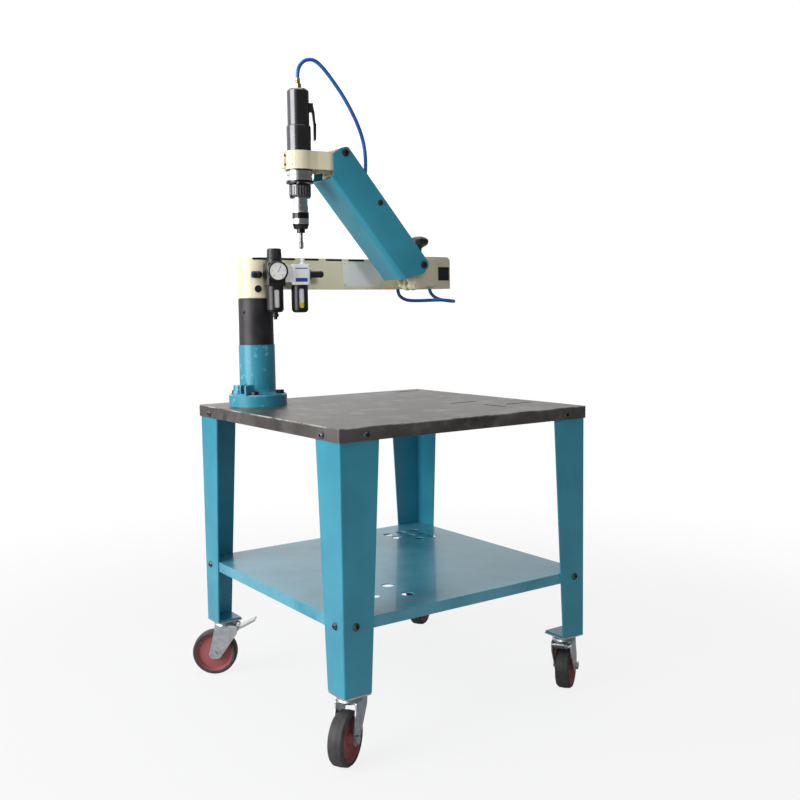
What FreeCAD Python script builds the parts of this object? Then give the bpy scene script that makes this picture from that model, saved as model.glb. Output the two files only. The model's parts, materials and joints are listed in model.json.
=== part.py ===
"""Arm tapping machine on a wheeled bench.

A cast column on a sheet-steel bench carries a swivelling beam.  An elbow at the beam's end
carries a parallel-link arm, and the arm holds an air tapping motor upright.

Frame: millimetres, +Z up, origin on the floor under the centre of the bench,
+X along the front edge towards the elbow, +Y towards the back.
"""
import FreeCAD, Part
import math
import os

V = FreeCAD.Vector
UP = V(0, 0, 1)
ALONG_X = V(1, 0, 0)
ALONG_Y = V(0, 1, 0)

# ---------------------------------------------------------------- driving dimensions
# fits
RUN_FIT = 0.05              # radial clearance of a shaft that turns in its bore
SEAT_FIT = 0.02             # radial clearance of a piece pressed into its seat
BOLT_CLEARANCE = 0.3        # radial clearance of a bolt in its hole
PLAY = 0.3                  # gap between faces that slide past each other

# bench
bench_side = 600.0
bench_height = 613.0
top_sheet = 4.0
rim_height = 25.0
rim_sheet = 3.0
slot_length = 72.0
slot_width = 8.0
leg_sheet = 3.0
leg_top_width = 84.0
leg_foot_width = 58.0
leg_bend = 3.0
shelf_drop = 346.0          # from the worktop down to the shelf
shelf_sheet = 2.5
shelf_rim = 21.0
shelf_hole_radius = 12.5
shelf_hole_pitch = 38.0
shelf_rack_x = 150.0        # first corner of the rack of holes at the back right
shelf_rack_y = 145.0
shelf_front_holes = ((-98.0, -144.0), (-161.0, -189.0), (-101.0, -216.0))
bolt_radius = 4.0
bolt_head_radius = 7.2
bolt_head_height = 4.6
bolt_nut_radius = 7.5
bolt_nut_height = 6.5
top_bolt_inset = 57.0
shelf_bolt_inset = 30.0

# casters
caster_height = 128.0
caster_inset = 32.0
caster_trail = 24.0
caster_plate_side = 60.0
caster_plate_sheet = 3.0
wheel_radius = 50.0
wheel_width = 30.0
tyre_depth = 9.0
fork_sheet = 2.5
fork_gap = 4.0
race_radius = 23.0
race_height = 9.0
king_pin_radius = 6.0
axle_radius = 5.0
pedal_width = 26.0
pedal_length = 44.0
pedal_pin_radius = 3.0
pedal_pin_gap = 4.0         # from the race's rim to the pedal's pin

# column
column_x = -203.0
column_y = 200.0
flange_radius = 63.0
flange_height = 26.0
column_radius = 39.0
column_bore = 31.0
base_height = 132.5
sleeve_radius = 37.5
sleeve_height = 100.0
set_screw_angle = 204.0
set_screw_drop = 30.0
set_screw_radius = 3.5
bearing_height = 16.0
low_bearing_rise = 40.0
base_bolt_circle = 49.0
base_bolt_radius = 5.0
base_bolt_angle = 55.0
clamp_ear_angle = 203.0
clamp_ear_height = 47.0
clamp_ear_width = 36.0

# beam
beam_width = 70.0
beam_height = 68.0
beam_drop = 20.0            # how far the root reaches below the beam
root_radius = 37.0
beam_wall = 8.0
shaft_radius = 22.0
dash_length = 43.0
dash_height = 4.5
dash_depth = 3.0
dash_pitch = 60.0
dash_count = 7

# elbow
elbow_reach = 441.0         # from the column axis to the elbow axis
elbow_radius = 33.0         # boss at the beam's end
neck_half_width = 18.0      # slim neck behind the boss, which the knuckle's end swings past
girder_gap = 44.0           # from the elbow axis to the girder's end
elbow_shaft_radius = 14.0
elbow_bearing_radius = 21.0
knuckle_top = 14.0          # thickness of the plate over the boss
knuckle_foot = 8.0          # thickness of the plate under the boss
knuckle_stand = 8.0         # how far the knuckle stands above the beam
knuckle_wall = 7.5
knuckle_front = 43.0        # from the elbow axis to the knuckle's front face
knuckle_reach = 63.0        # from the elbow axis to the knuckle's right end
knuckle_shoulder = 13.0
plug_side = 32.0
plug_depth = 12.0
knob_radius = 24.0
knob_height = 26.0
knob_stem_radius = 7.0
knob_stem = 24.0

# arm
arm_offset = 150.0          # from the elbow axis forward to the arm's mid plane
link_length = 300.0
arm_rise = 49.0             # degrees above level at rest
pin_reach = 125.0           # lower pin of the upper link, from the elbow axis
pin_rise = 48.5             # and above the beam's underside
link_offset_x = -8.0        # lower link from upper link
link_offset_z = -44.0
link_pin_radius = 6.0
link_half_width = 9.0
link_sheet = 8.0
cheek_gap = 12.0            # slot for the spring's eye
cheek_sheet = 8.0
link_play = 1.0
cover_width = 82.0
cover_sheet = 2.0
cover_bend = 10.0
cover_back = 14.0           # from the pin line to the open edge
cover_depth = 63.0          # from the pin line to the web

# balance spring
spring_foot_x = -5.0        # from the lower pin
spring_foot_z = -15.0
spring_reach = 171.0        # along the link to the spring's upper pin
spring_pin_radius = 4.0
spring_radius = 9.0
spring_rod_radius = 4.0
spring_shank_radius = 3.0   # slim, so that it passes the arm's lower pin when the arm is up
spring_eye_sheet = 9.0
spring_play = 3.6           # radial freedom of the upper eye

# head
head_reach = 85.7           # from the upper pin to the motor's axis
ring_radius = 31.0
bracket_height = 36.4
bracket_width = 72.0
bracket_wall = 5.0
neck_end = 21.2             # from the upper pin to the end of the wide neck
ear_angle = -14.0
tongue_width = 28.0
motor_radius = 25.0
motor_low_height = 52.0
handle_radius = 22.5
handle_height = 73.0
collar_radius = 26.0
lever_angle = -20.0
lever_root_depth = 12.0     # how far the throttle's root reaches below its pin
ear_half_width = 9.0        # the ring's split ears, from the split to each outer face
ear_screw_radius = 2.3
ear_screw_inset = 9.0       # from the ring's upper and lower faces
spindle_radius = 9.0
chuck_radius = 15.0

# air
hose_radius = 4.0
hose_end_along = 201.0892   # where the motor's hose ends inside the arm, along the pin line
hose_end_aside = 0.0975     # and aside of it
hose_end_lean = 15.255      # degrees of the hose's end from straight down
unit_turn = -15.0           # the air unit is turned a little towards the operator
unit_shift = 15.0           # from the column axis to the right
unit_stand = 28.5           # from the beam's face forward
unit_pitch = 54.0
unit_side = 40.0
unit_height = 49.0
unit_rise = 5.0             # above the beam's underside
port_drop = 24.0            # from the unit's upper face down to its ports
gauge_drop = 19.0           # and down to the gauge's axis
bracket_foot_left = 19.0    # from the bracket's middle to the ends of its foot
bracket_foot_right = 21.0
inlet_rise = 50.0           # from the root's lower face up to the inlet elbow
plug_rise = 20.0            # and up to the plug
bowl_length = 56.0
guard_radius = 18.0
guard_window_width = 11.0
guard_window_foot = 10.0    # from the guard's lower end up to its windows
guard_window_head = 8.0     # from the windows up to the guard's upper end
gauge_radius = 21.5
gauge_rim = 3.5
gauge_depth = 14.0
dome_shift = 8.0
outlet_reach = 27.0
inlet_angle = 253.0
inlet_radius = 6.5
root_plug_radius = 7.5
loop_start_x = 170.0        # where the loop of hose leaves the beam
loop_start_y = 195.0
loop_end_x = 262.5          # where it enters the knuckle
loop_end_y = 192.5

# ---------------------------------------------------------------- heights that follow
table = bench_height
shelf_height = table - shelf_drop
leg_foot = caster_height
base_top = table + base_height
root_low = base_top + sleeve_height + PLAY
beam_low = root_low + beam_drop
beam_top = beam_low + beam_height
elbow_x = column_x + elbow_reach
beam_front = column_y - beam_width / 2
beam_back = column_y + beam_width / 2
knuckle_high = beam_top + knuckle_stand
knuckle_low = beam_low
boss_high = knuckle_high - knuckle_top - PLAY
boss_low = knuckle_low + knuckle_foot + PLAY
beam_end = elbow_x - girder_gap
face_y = column_y - knuckle_front
arm_y = column_y - arm_offset
near_y = arm_y - cover_width / 2
far_y = arm_y + cover_width / 2
rise = math.radians(arm_rise)
link_dir = V(-math.cos(rise), 0, math.sin(rise))
link_side = V(-math.sin(rise), 0, -math.cos(rise))
pin_low = V(elbow_x - pin_reach, 0, beam_low + pin_rise)
pin_high = pin_low + link_dir * link_length
pin_low_2 = pin_low + V(link_offset_x, 0, link_offset_z)
pin_high_2 = pin_high + V(link_offset_x, 0, link_offset_z)
motor_x = pin_high.x - head_reach
bracket_top = pin_high.z
bracket_low = bracket_top - bracket_height
bracket_end = pin_high.x - neck_end
unit_low = beam_low + unit_rise
unit_high = unit_low + unit_height
bowl_low = unit_low - bowl_length
unit_x = column_x + unit_shift
unit_y = beam_front - unit_stand
spring_foot = pin_low + V(spring_foot_x, 0, spring_foot_z)
spring_head = pin_low + link_dir * spring_reach


# ---------------------------------------------------------------- helpers
def block(x0, x1, y0, y1, z0, z1):
    """Box between two corners."""
    return Part.makeBox(x1 - x0, y1 - y0, z1 - z0, V(x0, y0, z0))


def rod(radius, start, end):
    """Round bar from one point to another."""
    return Part.makeCylinder(radius, (end - start).Length, start, end - start)


def post(radius, x, y, z0, z1):
    """Upright round bar."""
    return Part.makeCylinder(radius, z1 - z0, V(x, y, z0))


def cross_bar(radius, place, y0, y1):
    """Round bar along Y through a point of the arm's plane."""
    return Part.makeCylinder(radius, y1 - y0, V(place.x, y0, place.z), ALONG_Y)


def turned(profile, x=0.0, y=0.0, z=0.0, axis=UP):
    """Solid of revolution about Z from (radius, height) points, then moved and aimed."""
    points = [V(r, 0, h) for r, h in profile]
    face = Part.Face(Part.makePolygon(points + [points[0]]))
    solid = face.revolve(V(0, 0, 0), UP, 360)
    solid.Placement = FreeCAD.Placement(V(x, y, z), FreeCAD.Rotation(UP, axis))
    return solid


def joined(*shapes):
    """One solid from pieces that meet."""
    first = shapes[0]
    return first.fuse(list(shapes[1:])).removeSplitter()


def tangent_path(points, radii, closed=False):
    """Straight runs joined by tangent arcs, one radius for each inner point."""
    count = len(points)
    inner = range(count) if closed else range(1, count - 1)
    start_of, end_of, arcs = {}, {}, {}
    for i in inner:
        before, here, after = points[i - 1], points[i], points[(i + 1) % count]
        a = (before - here).normalize()
        b = (after - here).normalize()
        half = a.getAngle(b) / 2
        radius = radii[i]
        reach = radius / math.tan(half)
        start_of[i] = here + a * reach
        end_of[i] = here + b * reach
        middle = (a + b).normalize()
        arcs[i] = here + middle * (radius / math.sin(half) - radius)
    edges = []
    for i in range(count if closed else count - 1):
        j = (i + 1) % count
        run_start = end_of.get(i, points[i])
        run_end = start_of.get(j, points[j])
        if (run_end - run_start).Length > 1e-6:
            edges.append(Part.LineSegment(run_start, run_end).toShape())
        if j in arcs and radii[j] > 0:
            edges.append(Part.Arc(start_of[j], arcs[j], end_of[j]).toShape())
    return Part.Wire(edges)


def plate(points, radii, thickness):
    """Flat plate with rounded corners; `thickness` is a vector."""
    path = tangent_path(points, radii, closed=True)
    return Part.Face(path).extrude(thickness)


def bar_plate(a, b, half_width, y0, y1):
    """Link bar with round ends in the arm's plane."""
    across = (b - a).normalize().cross(ALONG_Y) * half_width
    along = (b - a).normalize() * half_width
    lift = V(0, y0, 0)
    corners = [a + across, a - along, a - across, b - across, b + along, b + across]
    p = [c + lift for c in corners]
    edges = [Part.Arc(p[0], p[1], p[2]).toShape(), Part.LineSegment(p[2], p[3]).toShape()]
    edges += [Part.Arc(p[3], p[4], p[5]).toShape(), Part.LineSegment(p[5], p[0]).toShape()]
    return Part.Face(Part.Wire(edges)).extrude(V(0, y1 - y0, 0))


def arm_point(along, aside):
    """Point of the arm's plane from its place along and aside of the pin line."""
    return pin_low + link_dir * along + link_side * aside


def softened(solid, radius, chosen):
    """Fillet the edges that `chosen` accepts."""
    edges = [e for e in solid.Edges if chosen(e)]
    return solid.makeFillet(radius, edges) if edges else solid


def upright(edge):
    """True for a straight upright edge."""
    line = edge.BoundBox
    return line.XLength < 1e-6 and line.YLength < 1e-6


def hexagon_bar(radius, height, place, axis=UP):
    """Hexagon prism across corners `radius`, standing on `place`."""
    corners = [V(radius * math.cos(a), radius * math.sin(a), 0) for a in
               [math.radians(60 * k) for k in range(7)]]
    prism = Part.Face(Part.makePolygon(corners)).extrude(V(0, 0, height))
    prism.Placement = FreeCAD.Placement(place, FreeCAD.Rotation(UP, axis))
    return prism


def domed_bolt(place, axis, grip):
    """Domed socket bolt with its nut; `place` is under the head, `axis` points outwards."""
    head = turned([(0, 0), (bolt_head_radius, 0), (bolt_head_radius, 1.2),
                   (bolt_head_radius * 0.72, bolt_head_height * 0.8),
                   (2.6, bolt_head_height), (2.6, 1.8), (0, 1.8)],
                  place.x, place.y, place.z, axis)
    shank = rod(bolt_radius, place, place - axis * (grip + bolt_nut_height + 1.5))
    nut = hexagon_bar(bolt_nut_radius, bolt_nut_height, place - axis * grip, axis * -1)
    return joined(head, shank, nut)


def socket_screw(place, axis, head_radius, head_height, length):
    """Cap screw with a socket; `place` is under the head."""
    head = turned([(0, 0), (head_radius, 0), (head_radius, head_height),
                   (head_radius * 0.5, head_height), (head_radius * 0.5, head_height * 0.4),
                   (0, head_height * 0.4)], place.x, place.y, place.z, axis)
    return joined(head, rod(head_radius * 0.58, place, place - axis * length))


def bearing(x, y, z, inner, outer, height):
    """Sealed ball bearing: two rings and the recessed seals between them."""
    wall = (outer - inner) * 0.28
    recess = 0.8
    profile = [(inner, 0), (inner + wall, 0), (inner + wall, recess), (outer - wall, recess),
               (outer - wall, 0), (outer, 0), (outer, height), (outer - wall, height),
               (outer - wall, height - recess), (inner + wall, height - recess),
               (inner + wall, height), (inner, height)]
    return turned(profile, x, y, z)


# ---------------------------------------------------------------- bench
half = bench_side / 2
leg_face = half - rim_sheet
shelf_half = leg_face - leg_sheet
CORNERS = [("front_left", -1, -1), ("front_right", 1, -1), ("back_left", -1, 1), ("back_right", 1, 1)]
SLOTS = [(160.0, -68.0, True), (236.0, -163.0, True), (236.0, 255.0, True), (163.0, -171.0, False)]
top_bolt_z = table - rim_height * 0.62
shelf_bolt_z = shelf_height - shelf_rim * 0.55
base_bolts = [(column_x + base_bolt_circle * math.cos(math.radians(base_bolt_angle + 90 * k)),
               column_y + base_bolt_circle * math.sin(math.radians(base_bolt_angle + 90 * k)))
              for k in range(4)]


def tray(side, top, sheet, rim, rim_wall, corner):
    """Folded sheet tray, open below."""
    outer = block(-side, side, -side, side, top - rim, top)
    outer = softened(outer, corner, upright)
    inner = block(-side + rim_wall, side - rim_wall, -side + rim_wall, side - rim_wall,
                  top - rim, top - sheet)
    shell = outer.cut(inner)
    return softened(shell, sheet * 0.5, lambda e: abs(e.BoundBox.ZMin - top) < 1e-6
                    and e.BoundBox.ZLength < 1e-6)


def face_bolts(inset, height):
    """Places under the bolt heads, two on each outer side, with the way each faces."""
    places = []
    for sign in (-1, 1):
        for reach in (-half + inset, half - inset):
            places.append((V(sign * half, reach, height), V(sign, 0, 0)))
            places.append((V(reach, sign * half, height), V(0, sign, 0)))
    return places


def bolt_hole(place, axis):
    """Clearance hole through a rim and a leg."""
    return rod(bolt_radius + BOLT_CLEARANCE, place + axis * 2, place - axis * 20)


def make_worktop():
    top = tray(half, table, top_sheet, rim_height, rim_sheet, 4.0)
    cuts = []
    for x, y, along_x in SLOTS:
        run = V(1, 0, 0) if along_x else V(0, 1, 0)
        ends = run * (slot_length / 2 - slot_width / 2)
        a = V(x, y, table - rim_height) - ends
        b = V(x, y, table - rim_height) + ends
        cuts.append(post(slot_width / 2, a.x, a.y, a.z, table + 1))
        cuts.append(post(slot_width / 2, b.x, b.y, a.z, table + 1))
        side = V(run.y, run.x, 0) * (slot_width / 2)
        low, high = a - side, b + side
        cuts.append(block(low.x, high.x, low.y, high.y, a.z, table + 1))
    for x, y in base_bolts:
        cuts.append(post(base_bolt_radius + BOLT_CLEARANCE, x, y, table - 20, table + 1))
    for place, axis in face_bolts(top_bolt_inset, top_bolt_z):
        cuts.append(bolt_hole(place, axis))
    return top.cut(cuts)


def make_leg(sx, sy):
    """Tapered angle leg with a welded foot plate."""
    top = table - top_sheet
    edge = leg_face
    flange_x = plate([V(edge, edge, leg_foot), V(edge - leg_foot_width, edge, leg_foot),
                      V(edge - leg_top_width, edge, top), V(edge, edge, top)],
                     [0, 0, 0, 0], V(0, -leg_sheet, 0))
    flange_y = plate([V(edge, edge, leg_foot), V(edge, edge - leg_foot_width, leg_foot),
                      V(edge, edge - leg_top_width, top), V(edge, edge, top)],
                     [0, 0, 0, 0], V(-leg_sheet, 0, 0))
    foot = block(edge - leg_foot_width + 2, edge - leg_sheet, edge - leg_foot_width + 2,
                 edge - leg_sheet, leg_foot, leg_foot + leg_sheet)
    leg = joined(flange_x, flange_y, foot)
    leg = softened(leg, leg_bend, lambda e: upright(e) and abs(e.BoundBox.XMax - edge) < 1e-6
                   and abs(e.BoundBox.YMax - edge) < 1e-6)
    turn = {(1, 1): 0, (-1, 1): 90, (-1, -1): 180, (1, -1): 270}[(sx, sy)]
    leg.rotate(V(0, 0, 0), UP, turn)
    cuts = []
    for inset, height in ((top_bolt_inset, top_bolt_z), (shelf_bolt_inset, shelf_bolt_z)):
        cuts += [bolt_hole(p, a) for p, a in face_bolts(inset, height)]
    return leg.cut(cuts)


def make_shelf():
    shelf = tray(shelf_half, shelf_height, shelf_sheet, shelf_rim, shelf_sheet, 3.0)
    cuts = [bolt_hole(p, a) for p, a in face_bolts(shelf_bolt_inset, shelf_bolt_z)]
    for row in range(3):
        for col in range(3):
            if (row, col) != (0, 0):
                cuts.append(post(shelf_hole_radius, shelf_rack_x + shelf_hole_pitch * col,
                                 shelf_rack_y + shelf_hole_pitch * row, shelf_height - 10, shelf_height + 1))
    for x, y in shelf_front_holes:
        cuts.append(post(shelf_hole_radius, x, y, shelf_height - 10, shelf_height + 1))
    return shelf.cut(cuts)


def make_frame_bolts():
    grip_top = rim_sheet + leg_sheet
    grip_shelf = rim_sheet + leg_sheet + shelf_sheet
    bolts = [domed_bolt(p, a, grip_top) for p, a in face_bolts(top_bolt_inset, top_bolt_z)]
    for place, axis in face_bolts(shelf_bolt_inset, shelf_bolt_z):
        bolts.append(domed_bolt(place - axis * rim_sheet, axis, grip_shelf - rim_sheet))
    return Part.makeCompound(bolts)


# ---------------------------------------------------------------- casters
caster_at = half - caster_inset
plate_low = caster_height - caster_plate_sheet
race_low = plate_low - race_height
cheek_y = wheel_width / 2 + fork_gap
pedal_pin_x = race_radius + pedal_pin_gap
pedal_pin_z = race_low - 9
CASTER_TURN = {"front_left": 215, "front_right": 35, "back_left": 145, "back_right": 35}


def caster_centre(sx, sy):
    """Foot of a caster's king pin on the floor."""
    return V(sx * caster_at, sy * caster_at, 0)


def make_caster_plates():
    """Fixed top plates, each with the upper race and the king pin."""
    plates = []
    side = caster_plate_side / 2
    for _, sx, sy in CORNERS:
        centre = caster_centre(sx, sy)
        flat = block(centre.x - side, centre.x + side, centre.y - side, centre.y + side,
                     plate_low, caster_height)
        flat = softened(flat, 6.0, upright)
        dish = turned([(0, 0), (race_radius - 3, 0), (race_radius - 5, -2.5), (0, -2.5)],
                      centre.x, centre.y, plate_low)
        pin = post(king_pin_radius, centre.x, centre.y, race_low - 6, plate_low)
        cap = post(king_pin_radius + 4, centre.x, centre.y, race_low - 9, race_low - 4.5 - PLAY)
        plates.append(joined(flat, dish, pin, cap))
    return Part.makeCompound(plates)


def make_caster_fork(sx, sy, turn):
    """Swivel fork: a domed race and crown over two tapered cheeks that carry the axle."""
    bore = king_pin_radius + RUN_FIT
    crown = turned([(bore, -4.5), (race_radius, -4.5), (race_radius + 1.5, -1.0), (race_radius, 2.5),
                    (race_radius - 4, race_height - 3), (bore, race_height - 3)], 0, 0, race_low)
    solids = [crown]
    for side in (-1, 1):
        y0 = cheek_y if side > 0 else -cheek_y - fork_sheet
        outline = [V(-race_radius + 3, y0, race_low - 0.5), V(-race_radius + 1, y0, race_low - 14),
                   V(-caster_trail - 13, y0, wheel_radius - 11), V(-caster_trail + 13, y0, wheel_radius - 11),
                   V(race_radius + 6, y0, race_low - 20), V(race_radius + 9, y0, race_low - 4),
                   V(race_radius - 2, y0, race_low - 0.5)]
        solids.append(plate(outline, [3, 10, 10, 10, 8, 5, 3], V(0, fork_sheet, 0)))
        nut = hexagon_bar(8.5, 5, V(-caster_trail, side * (cheek_y + fork_sheet), wheel_radius),
                          V(0, side, 0))
        solids.append(nut)
    bridge = block(-race_radius + 4, race_radius - 3, -cheek_y - fork_sheet, cheek_y + fork_sheet,
                   race_low - 4.5, race_low - 0.5)
    solids.append(bridge.cut(post(king_pin_radius + 5, 0, 0, race_low - 5, race_low)))
    axle = Part.makeCylinder(axle_radius, 2 * (cheek_y + fork_sheet) + 1,
                             V(-caster_trail, -cheek_y - fork_sheet - 0.5, wheel_radius), ALONG_Y)
    pivot = Part.makeCylinder(pedal_pin_radius, 2 * cheek_y, V(pedal_pin_x, -cheek_y, pedal_pin_z),
                              ALONG_Y)
    fork = joined(*solids, axle, pivot)
    return aimed(fork, sx, sy, turn)


def aimed(shape, sx, sy, turn):
    """Turn a caster piece about its king pin and stand it under its corner."""
    shape.rotate(V(0, 0, 0), UP, turn + 180)
    shape.translate(caster_centre(sx, sy))
    return shape


def make_caster_wheel(sx, sy, turn):
    """Wheel with a rounded tread round a dished centre and a long hub."""
    w = wheel_width / 2
    hub = cheek_y - PLAY
    rim = wheel_radius - tyre_depth
    profile = [(axle_radius + RUN_FIT, -hub), (11, -hub), (13, -w * 0.5), (rim - 5, -w * 0.4),
               (rim, -w * 0.95), (wheel_radius - 4, -w), (wheel_radius - 0.8, -w + 4),
               (wheel_radius, 0), (wheel_radius - 0.8, w - 4), (wheel_radius - 4, w),
               (rim, w * 0.95), (rim - 5, w * 0.4), (13, w * 0.5), (11, hub),
               (axle_radius + RUN_FIT, hub)]
    wheel = turned(profile, -caster_trail, 0, wheel_radius, ALONG_Y)
    return aimed(wheel, sx, sy, turn)


def make_caster_pedal(sx, sy, turn):
    """Brake pedal hinged between the cheeks, opposite the wheel."""
    x, z = pedal_pin_x, pedal_pin_z
    y0 = -pedal_width / 2
    eye = Part.makeCylinder(pedal_pin_radius + 2.5, pedal_width, V(x, y0, z), ALONG_Y)
    end = x + pedal_length
    tread = plate([V(x, y0, z + 1), V(x + 14, y0, z + 5), V(end - 3, y0, z + 19), V(end, y0, z + 16),
                   V(x + 16, y0, z + 1), V(x + 3, y0, z - 4)],
                  [0, 8, 1.5, 1.5, 8, 0], V(0, pedal_width, 0))
    bore = Part.makeCylinder(pedal_pin_radius + RUN_FIT, pedal_width + 2, V(x, y0 - 1, z), ALONG_Y)
    return aimed(joined(eye, tread).cut(bore), sx, sy, turn)


# ---------------------------------------------------------------- column
def turned_ear(shape):
    """Carry a piece of the split clamp from its own frame to the casting."""
    shape.rotate(V(0, 0, 0), UP, clamp_ear_angle)
    shape.translate(V(column_x, column_y, table))
    return shape


clamp_screw_reach = (column_radius + flange_radius) / 2 + 2
clamp_screw_rise = flange_height + 12
clamp_screw_radius = 3.0
clamp_seat = 5.0


def make_column_base():
    """Cast flange and column, bored for the bearings, with a split clamp lug at its rim."""
    body = turned([(0, 0), (flange_radius, 0), (flange_radius, flange_height - 3),
                   (flange_radius - 3, flange_height), (column_radius + 6, flange_height),
                   (column_radius + 1.5, flange_height + 4), (column_radius, flange_height + 10),
                   (column_radius, base_height), (0, base_height)],
                  column_x, column_y, table)
    rim = turned([(column_radius - 6, 0), (flange_radius - 0.5, 0), (flange_radius - 0.5, clamp_ear_height),
                  (column_radius - 6, clamp_ear_height)])
    ear = rim.common(block(0, flange_radius, -clamp_ear_width / 2, clamp_ear_width / 2,
                           0, clamp_ear_height))
    ear = softened(ear, 2.5, lambda e: abs(e.BoundBox.ZMin - clamp_ear_height) < 1e-6)
    body = joined(body, turned_ear(ear))
    cuts = [post(column_bore, column_x, column_y, table - 1, base_top + 1)]
    for x, y in base_bolts:
        cuts.append(post(base_bolt_radius + BOLT_CLEARANCE, x, y, table - 1, table + 80))
        cuts.append(post(base_bolt_radius + 5.5, x, y, table + flange_height - 2, table + 60))
    cuts.append(turned_ear(block(column_bore - 2, flange_radius + 5, -1.5, 1.5, flange_height + 2,
                                 clamp_ear_height + 1)))
    cuts.append(turned_ear(block(column_radius + 3.5, flange_radius + 3, clamp_seat, clamp_seat + 9,
                                 flange_height + 3, clamp_ear_height + 2)))
    cuts.append(turned_ear(rod(clamp_screw_radius + BOLT_CLEARANCE,
                               V(clamp_screw_reach, -clamp_ear_width, clamp_screw_rise),
                               V(clamp_screw_reach, clamp_seat + 1, clamp_screw_rise))))
    return body.cut(cuts)


def set_screw_line():
    """Centre and direction of the sleeve's set screw."""
    aim = V(math.cos(math.radians(set_screw_angle)), math.sin(math.radians(set_screw_angle)), 0)
    return V(column_x, column_y, base_top + sleeve_height - set_screw_drop), aim


def make_column_sleeve():
    """Dark bearing sleeve on top of the casting, with a hole for its set screw."""
    sleeve = turned([(column_bore, 0), (sleeve_radius, 0), (sleeve_radius, sleeve_height - 1.5),
                     (sleeve_radius - 1.5, sleeve_height), (column_bore, sleeve_height)],
                    column_x, column_y, base_top)
    centre, aim = set_screw_line()
    return sleeve.cut(rod(set_screw_radius, centre + aim * 20, centre + aim * 60))


def make_column_screws():
    """Foundation bolts with washers and nuts, the clamp screw and the sleeve's set screw."""
    pieces = []
    seat = table + flange_height - 2
    nut_height = 8.0
    for x, y in base_bolts:
        washer = turned([(base_bolt_radius + BOLT_CLEARANCE, 0), (9.5, 0), (9.5, 2),
                         (base_bolt_radius + BOLT_CLEARANCE, 2)], x, y, seat)
        head = hexagon_bar(9.2, 7.0, V(x, y, seat + 2))
        shank = post(base_bolt_radius, x, y, table - top_sheet - nut_height - 2, seat + 2)
        nut = hexagon_bar(9.2, nut_height, V(x, y, table - top_sheet - nut_height))
        pieces += [washer, joined(head, shank, nut)]
    screw = socket_screw(V(clamp_screw_reach, clamp_seat, clamp_screw_rise), V(0, 1, 0),
                         5.0, 6.0, clamp_ear_width / 2 + clamp_seat - 1)
    centre, aim = set_screw_line()
    grub = rod(set_screw_radius - SEAT_FIT, centre + aim * column_bore,
               centre + aim * (sleeve_radius - 2.5))
    grub = grub.cut(post(column_bore, column_x, column_y, base_top, root_low))
    return Part.makeCompound(pieces + [turned_ear(screw), grub])


def make_column_bearings():
    """Lower and upper bearing with the spacer tube between them."""
    inner = shaft_radius + RUN_FIT
    outer = column_bore - SEAT_FIT
    low = table + low_bearing_rise
    high = base_top + sleeve_height - 2 - bearing_height
    spacer_low = low + bearing_height
    spacer = turned([(outer - 5, 0), (outer, 0), (outer, high - spacer_low), (outer - 5, high - spacer_low)],
                    column_x, column_y, spacer_low)
    return Part.makeCompound([bearing(column_x, column_y, low, inner, outer, bearing_height), spacer,
                              bearing(column_x, column_y, high, inner, outer, bearing_height)])


# ---------------------------------------------------------------- beam
ledge_high = beam_low + 5.0


def inlet_lines():
    """Seats of the inlet elbow and of the plug on the root, and the way they face."""
    aim = V(math.cos(math.radians(inlet_angle)), math.sin(math.radians(inlet_angle)), 0)
    foot = V(column_x, column_y, root_low)
    return foot + UP * inlet_rise, foot + UP * plug_rise, aim


def make_beam():
    """Cast beam: a round root on the column, a ribbed girder open below and the elbow boss."""
    root = turned([(0, 0), (root_radius - 1.5, 0), (root_radius, 1.5),
                   (root_radius, beam_top - root_low - 3), (root_radius - 3, beam_top - root_low),
                   (0, beam_top - root_low)], column_x, column_y, root_low)
    girder = block(column_x, beam_end, beam_front, beam_back, beam_low, beam_top)
    girder = softened(girder, 3.0, lambda e: e.BoundBox.XLength > 100 and e.BoundBox.ZMin > beam_low + 5)
    ledge = block(column_x + 20, beam_end, beam_front - 1.2, beam_back + 1.2, beam_low, ledge_high)
    boss = post(elbow_radius, elbow_x, column_y, boss_low, boss_high)
    neck = block(beam_end - 10, elbow_x, column_y - neck_half_width, column_y + neck_half_width,
                 boss_low, boss_high)
    beam = joined(root, girder, ledge, boss, neck)
    cuts = []
    bay_start = column_x + root_radius + 8
    bay_end = beam_end - 14
    ribs = 2
    bay = (bay_end - bay_start - ribs * beam_wall) / (ribs + 1)
    for k in range(ribs + 1):
        x0 = bay_start + k * (bay + beam_wall)
        pocket = block(x0, x0 + bay, beam_front + beam_wall, beam_back - beam_wall,
                       beam_low - 1, beam_top - beam_wall)
        cuts.append(softened(pocket, 6.0, upright))
    for k in range(dash_count):
        x = column_x + dash_pitch * k
        for y0 in (beam_front - 3, beam_back - dash_depth):
            cuts.append(block(x - dash_length / 2, x + dash_length / 2, y0, y0 + dash_depth + 3,
                              beam_top - dash_height - 1.5, beam_top - 1.5))
    cuts.append(post(shaft_radius + SEAT_FIT, column_x, column_y, root_low - 1, beam_top - 12))
    cuts.append(post(elbow_bearing_radius + SEAT_FIT, elbow_x, column_y, boss_low - 1, boss_low + 12))
    cuts.append(post(elbow_bearing_radius + SEAT_FIT, elbow_x, column_y, boss_high - 12, boss_high + 1))
    cuts.append(post(elbow_shaft_radius + 2, elbow_x, column_y, boss_low - 1, boss_high + 1))
    inlet, plug, aim = inlet_lines()
    for seat, radius in ((inlet, inlet_radius), (plug, root_plug_radius)):
        cuts.append(rod(radius + SEAT_FIT, seat + aim * (root_radius - 5), seat + aim * (root_radius + 9)))
    cuts.append(post(hose_radius + 1, loop_start_x, loop_start_y, beam_low - 1, beam_low + 20))
    return beam.cut(cuts)


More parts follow.
